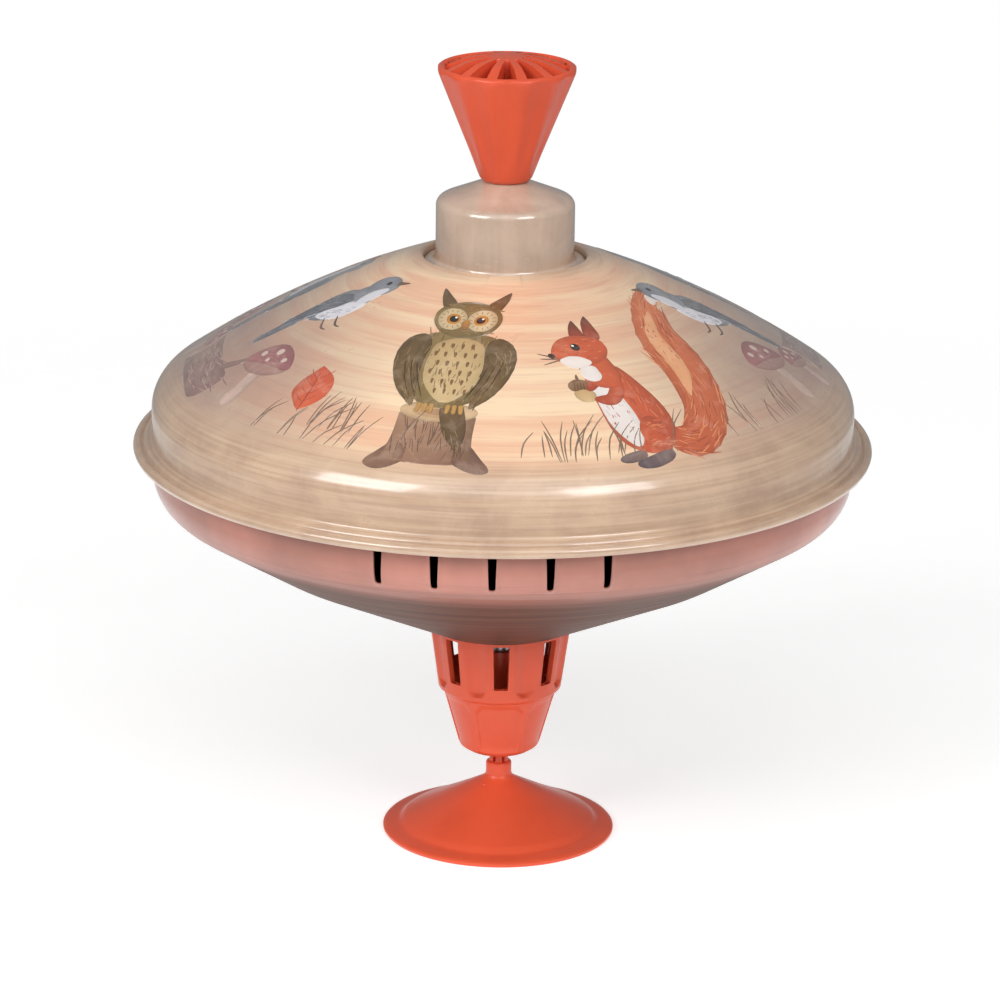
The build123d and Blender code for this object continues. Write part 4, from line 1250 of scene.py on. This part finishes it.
class TopSizes(bpy.types.PropertyGroup):
    """Counts and angles of the pattern, and the strengths of the lights."""

    knob_ribs: bpy.props.IntProperty(
        name="Knob ribs",
        description="Number of ribs in the knob, with a pocket between each pair",
        default=12,
        min=6,
        max=16,
    )
    slot_pitch: bpy.props.FloatProperty(
        name="Slot pitch",
        description="Angle between neighbouring air slots in degrees",
        default=9.0,
        min=6.0,
        max=14.0,
    )
    slot_middle: bpy.props.FloatProperty(
        name="Slot place",
        description="Angle of the first group's middle slot from the front in degrees",
        default=-1.36,
    )
    wall_light: bpy.props.FloatProperty(
        name="Surroundings",
        description="Strength of the white surroundings",
        default=0.27,
        min=0.0,
        max=2.0,
    )
    softbox_power: bpy.props.FloatProperty(
        name="Softboxes",
        description="Power in watts that each softbox has a share of",
        default=5.5,
        min=0.0,
        max=200.0,
        unit="POWER",
    )


COLOURS = {
    "cream": ("Picture, light", "Lightest tone of the picture field", (247, 218, 182)),
    "peach": ("Picture, warm", "Warmer tone of the picture field", (238, 190, 156)),
    "streak": ("Picture, light rings", "Pale wood rings in the picture field", (250, 226, 180)),
    "knot": ("Picture, dark rings", "Darker wood rings in the picture field", (206, 148, 122)),
    # Painted shade: the mauve-grey that darkens the picture's left and right sides.
    "mist": ("Picture, mist", "Haze at the sides of the picture", (168, 138, 128)),
    "border": ("Border", "Wood tone of the border round the picture", (208, 177, 149)),
    "border_shade": ("Border, shade", "Darker tone of the border", (186, 154, 130)),
    "border_light": ("Border, light grain", "Pale grain in the border", (220, 193, 166)),
    "border_line": ("Border, dark grain", "Dark grain in the border", (160, 132, 112)),
    "salmon": ("Lower shell, light", "Upper band of the lower shell", (196, 130, 114)),
    "salmon_shade": ("Lower shell, shade", "Darker tone of the upper band", (166, 112, 98)),
    "russet": ("Lower cone", "Rings of grain on the lower cone", (92, 60, 46)),
    "russet_shade": ("Lower cone, shade", "Darker rings on the lower cone", (74, 46, 36)),
    "russet_light": ("Lower cone, light grain", "Pale grain on the lower cone", (122, 88, 72)),
    "russet_line": ("Lower cone, dark grain", "Dark grain on the lower cone", (62, 38, 30)),
    "cap": ("Neck cap", "Lacquer of the neck cap", (212, 186, 166)),
    "cap_shade": ("Neck cap, shade", "Blots in the neck cap's lacquer", (192, 166, 146)),
    "cap_grain": ("Neck cap, grain", "Upright sage grain in the neck cap's lacquer", (150, 138, 118)),
    "orange": ("Plastic", "Moulded orange plastic", (228, 90, 58)),
    "ivory": ("Inner plastic", "Moulded ivory plastic of the drive", (226, 220, 206)),
}
for key, (label, meaning, shade) in COLOURS.items():
    TopColours.__annotations__[key] = bpy.props.FloatVectorProperty(
        name=label, description=meaning, subtype="COLOR", size=4, min=0.0, max=1.0, default=srgb(*shade)
    )


def place_piece(piece, body, slot, *nodes):
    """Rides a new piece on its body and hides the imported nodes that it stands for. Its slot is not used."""
    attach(piece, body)
    if nodes:
        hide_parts(*nodes)


class TOP_OT_stage(bpy.types.Operator):
    """Adds the camera, the table top, the softboxes and the white surroundings"""

    bl_idname = "humming_top.stage"
    bl_label = "Stage"

    def execute(self, context):
        sizes = context.scene.top_sizes
        make_camera()
        make_floor()
        softbox("softbox_left", -46, 30, 1.2, 0.62, 0.5, sizes.softbox_power * 1.25)
        softbox("softbox_right", 36, 30, 1.2, 0.55, 0.45, sizes.softbox_power * 0.8)
        softbox("softbox_above", 4, 50, 1.4, 1.6, 1.2, sizes.softbox_power * 1.2)
        softbox("strip_low", 8, 24, 1.4, 1.6, 0.35, sizes.softbox_power * 0.15)
        light_world(sizes.wall_light)
        context.scene.view_settings.view_transform = "Standard"
        return {"FINISHED"}


class TOP_OT_upper_shell(bpy.types.Operator):
    """Adds the printed upper shell with its rolled rim"""

    bl_idname = "humming_top.upper_shell"
    bl_label = "Upper Shell"

    def execute(self, context):
        place_piece(make_upper_shell(), "top", "printed_tin_upper", "upper_shell")
        return {"FINISHED"}


class TOP_OT_picture(bpy.types.Operator):
    """Adds the print on the dome: owls, squirrels, birds and the ground they stand on"""

    bl_idname = "humming_top.picture"
    bl_label = "Picture"

    def execute(self, context):
        for piece in make_pictures():
            place_piece(piece, "top", "printed_tin_upper")
        return {"FINISHED"}


class TOP_OT_lower_shell(bpy.types.Operator):
    """Adds the lower shell with its three groups of pressed air slots"""

    bl_idname = "humming_top.lower_shell"
    bl_label = "Lower Shell"

    def execute(self, context):
        place_piece(make_lower_shell(context.scene.top_sizes), "top", "printed_tin_lower", "lower_shell")
        return {"FINISHED"}


class TOP_OT_neck_cap(bpy.types.Operator):
    """Adds the drawn neck cap with its keyed flange"""

    bl_idname = "humming_top.neck_cap"
    bl_label = "Neck Cap"

    def execute(self, context):
        place_piece(make_neck_cap(), "top", "lacquered_tin_cap", "neck_cap")
        return {"FINISHED"}


class TOP_OT_knob(bpy.types.Operator):
    """Adds the ribbed knob"""

    bl_idname = "humming_top.knob"
    bl_label = "Knob"

    def execute(self, context):
        place_piece(make_knob(context.scene.top_sizes), "plunger", "orange_plastic", "knob")
        return {"FINISHED"}


class TOP_OT_air_cage(bpy.types.Operator):
    """Adds the windowed air cage and the sleeve inside it"""

    bl_idname = "humming_top.air_cage"
    bl_label = "Air Cage"

    def execute(self, context):
        place_piece(make_cage(), "top", "orange_plastic", "air_cage")
        place_piece(make_cage_core(), "top", "orange_plastic")
        return {"FINISHED"}


class TOP_OT_foot(bpy.types.Operator):
    """Adds the cone foot with its fingered stem, and the mark of the mould's gate"""

    bl_idname = "humming_top.foot"
    bl_label = "Foot"

    def execute(self, context):
        place_piece(make_foot(), "foot", "orange_plastic", "foot_disc")
        place_piece(make_gate_mark(), "foot", "orange_plastic")
        return {"FINISHED"}


class TOP_OT_packed_parts(bpy.types.Operator):
    """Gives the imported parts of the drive, the reeds and the pivot their metal and plastic finishes"""

    bl_idname = "humming_top.packed_parts"
    bl_label = "Drive, Reeds and Pivot"

    def execute(self, context):
        slots = {
            "steel": ("pivot_pin", "plate_screws", "guide_tube", "clutch_lid", "drive_plate", "nut_rivets",
                      "drive_rod", "rod_stop", "knob_ferrule", "knob_pin", "reed_rivets"),
            "brass": ("pivot_cup", "reeds"),
            "aluminium": ("reed_plate",),
            "inner_plastic": ("rod_bush", "clutch_housing", "drive_nut"),
        }
        for slot, nodes in slots.items():
            for node in nodes:
                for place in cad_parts[node].material_slots:
                    place.material = finish_of(slot)
        return {"FINISHED"}


class TOP_PT_panel(bpy.types.Panel):
    """Lists the pieces of the top, and the sizes and colours that they are made with"""

    bl_idname = "TOP_PT_panel"
    bl_label = "Humming Top"
    bl_space_type = "VIEW_3D"
    bl_region_type = "UI"
    bl_category = "Top"

    def draw(self, context):
        for operator in OPERATORS:
            self.layout.operator(operator.bl_idname)
        for settings in (context.scene.top_sizes, context.scene.top_colours):
            for key in type(settings).__annotations__:
                self.layout.prop(settings, key)


OPERATORS = (
    TOP_OT_stage,
    TOP_OT_upper_shell,
    TOP_OT_picture,
    TOP_OT_lower_shell,
    TOP_OT_neck_cap,
    TOP_OT_knob,
    TOP_OT_air_cage,
    TOP_OT_foot,
    TOP_OT_packed_parts,
)
CLASSES = (TopColours, TopSizes, *OPERATORS, TOP_PT_panel)


def register():
    for cls in CLASSES:
        bpy.utils.register_class(cls)
    bpy.types.Scene.top_colours = bpy.props.PointerProperty(type=TopColours)
    bpy.types.Scene.top_sizes = bpy.props.PointerProperty(type=TopSizes)


def unregister():
    del bpy.types.Scene.top_sizes
    del bpy.types.Scene.top_colours
    for cls in reversed(CLASSES):
        bpy.utils.unregister_class(cls)


def main():
    """Makes every piece in order."""
    register()
    for operator in OPERATORS:
        family, name = operator.bl_idname.split(".")
        getattr(getattr(bpy.ops, family), name)()


if __name__ == "__main__":
    main()
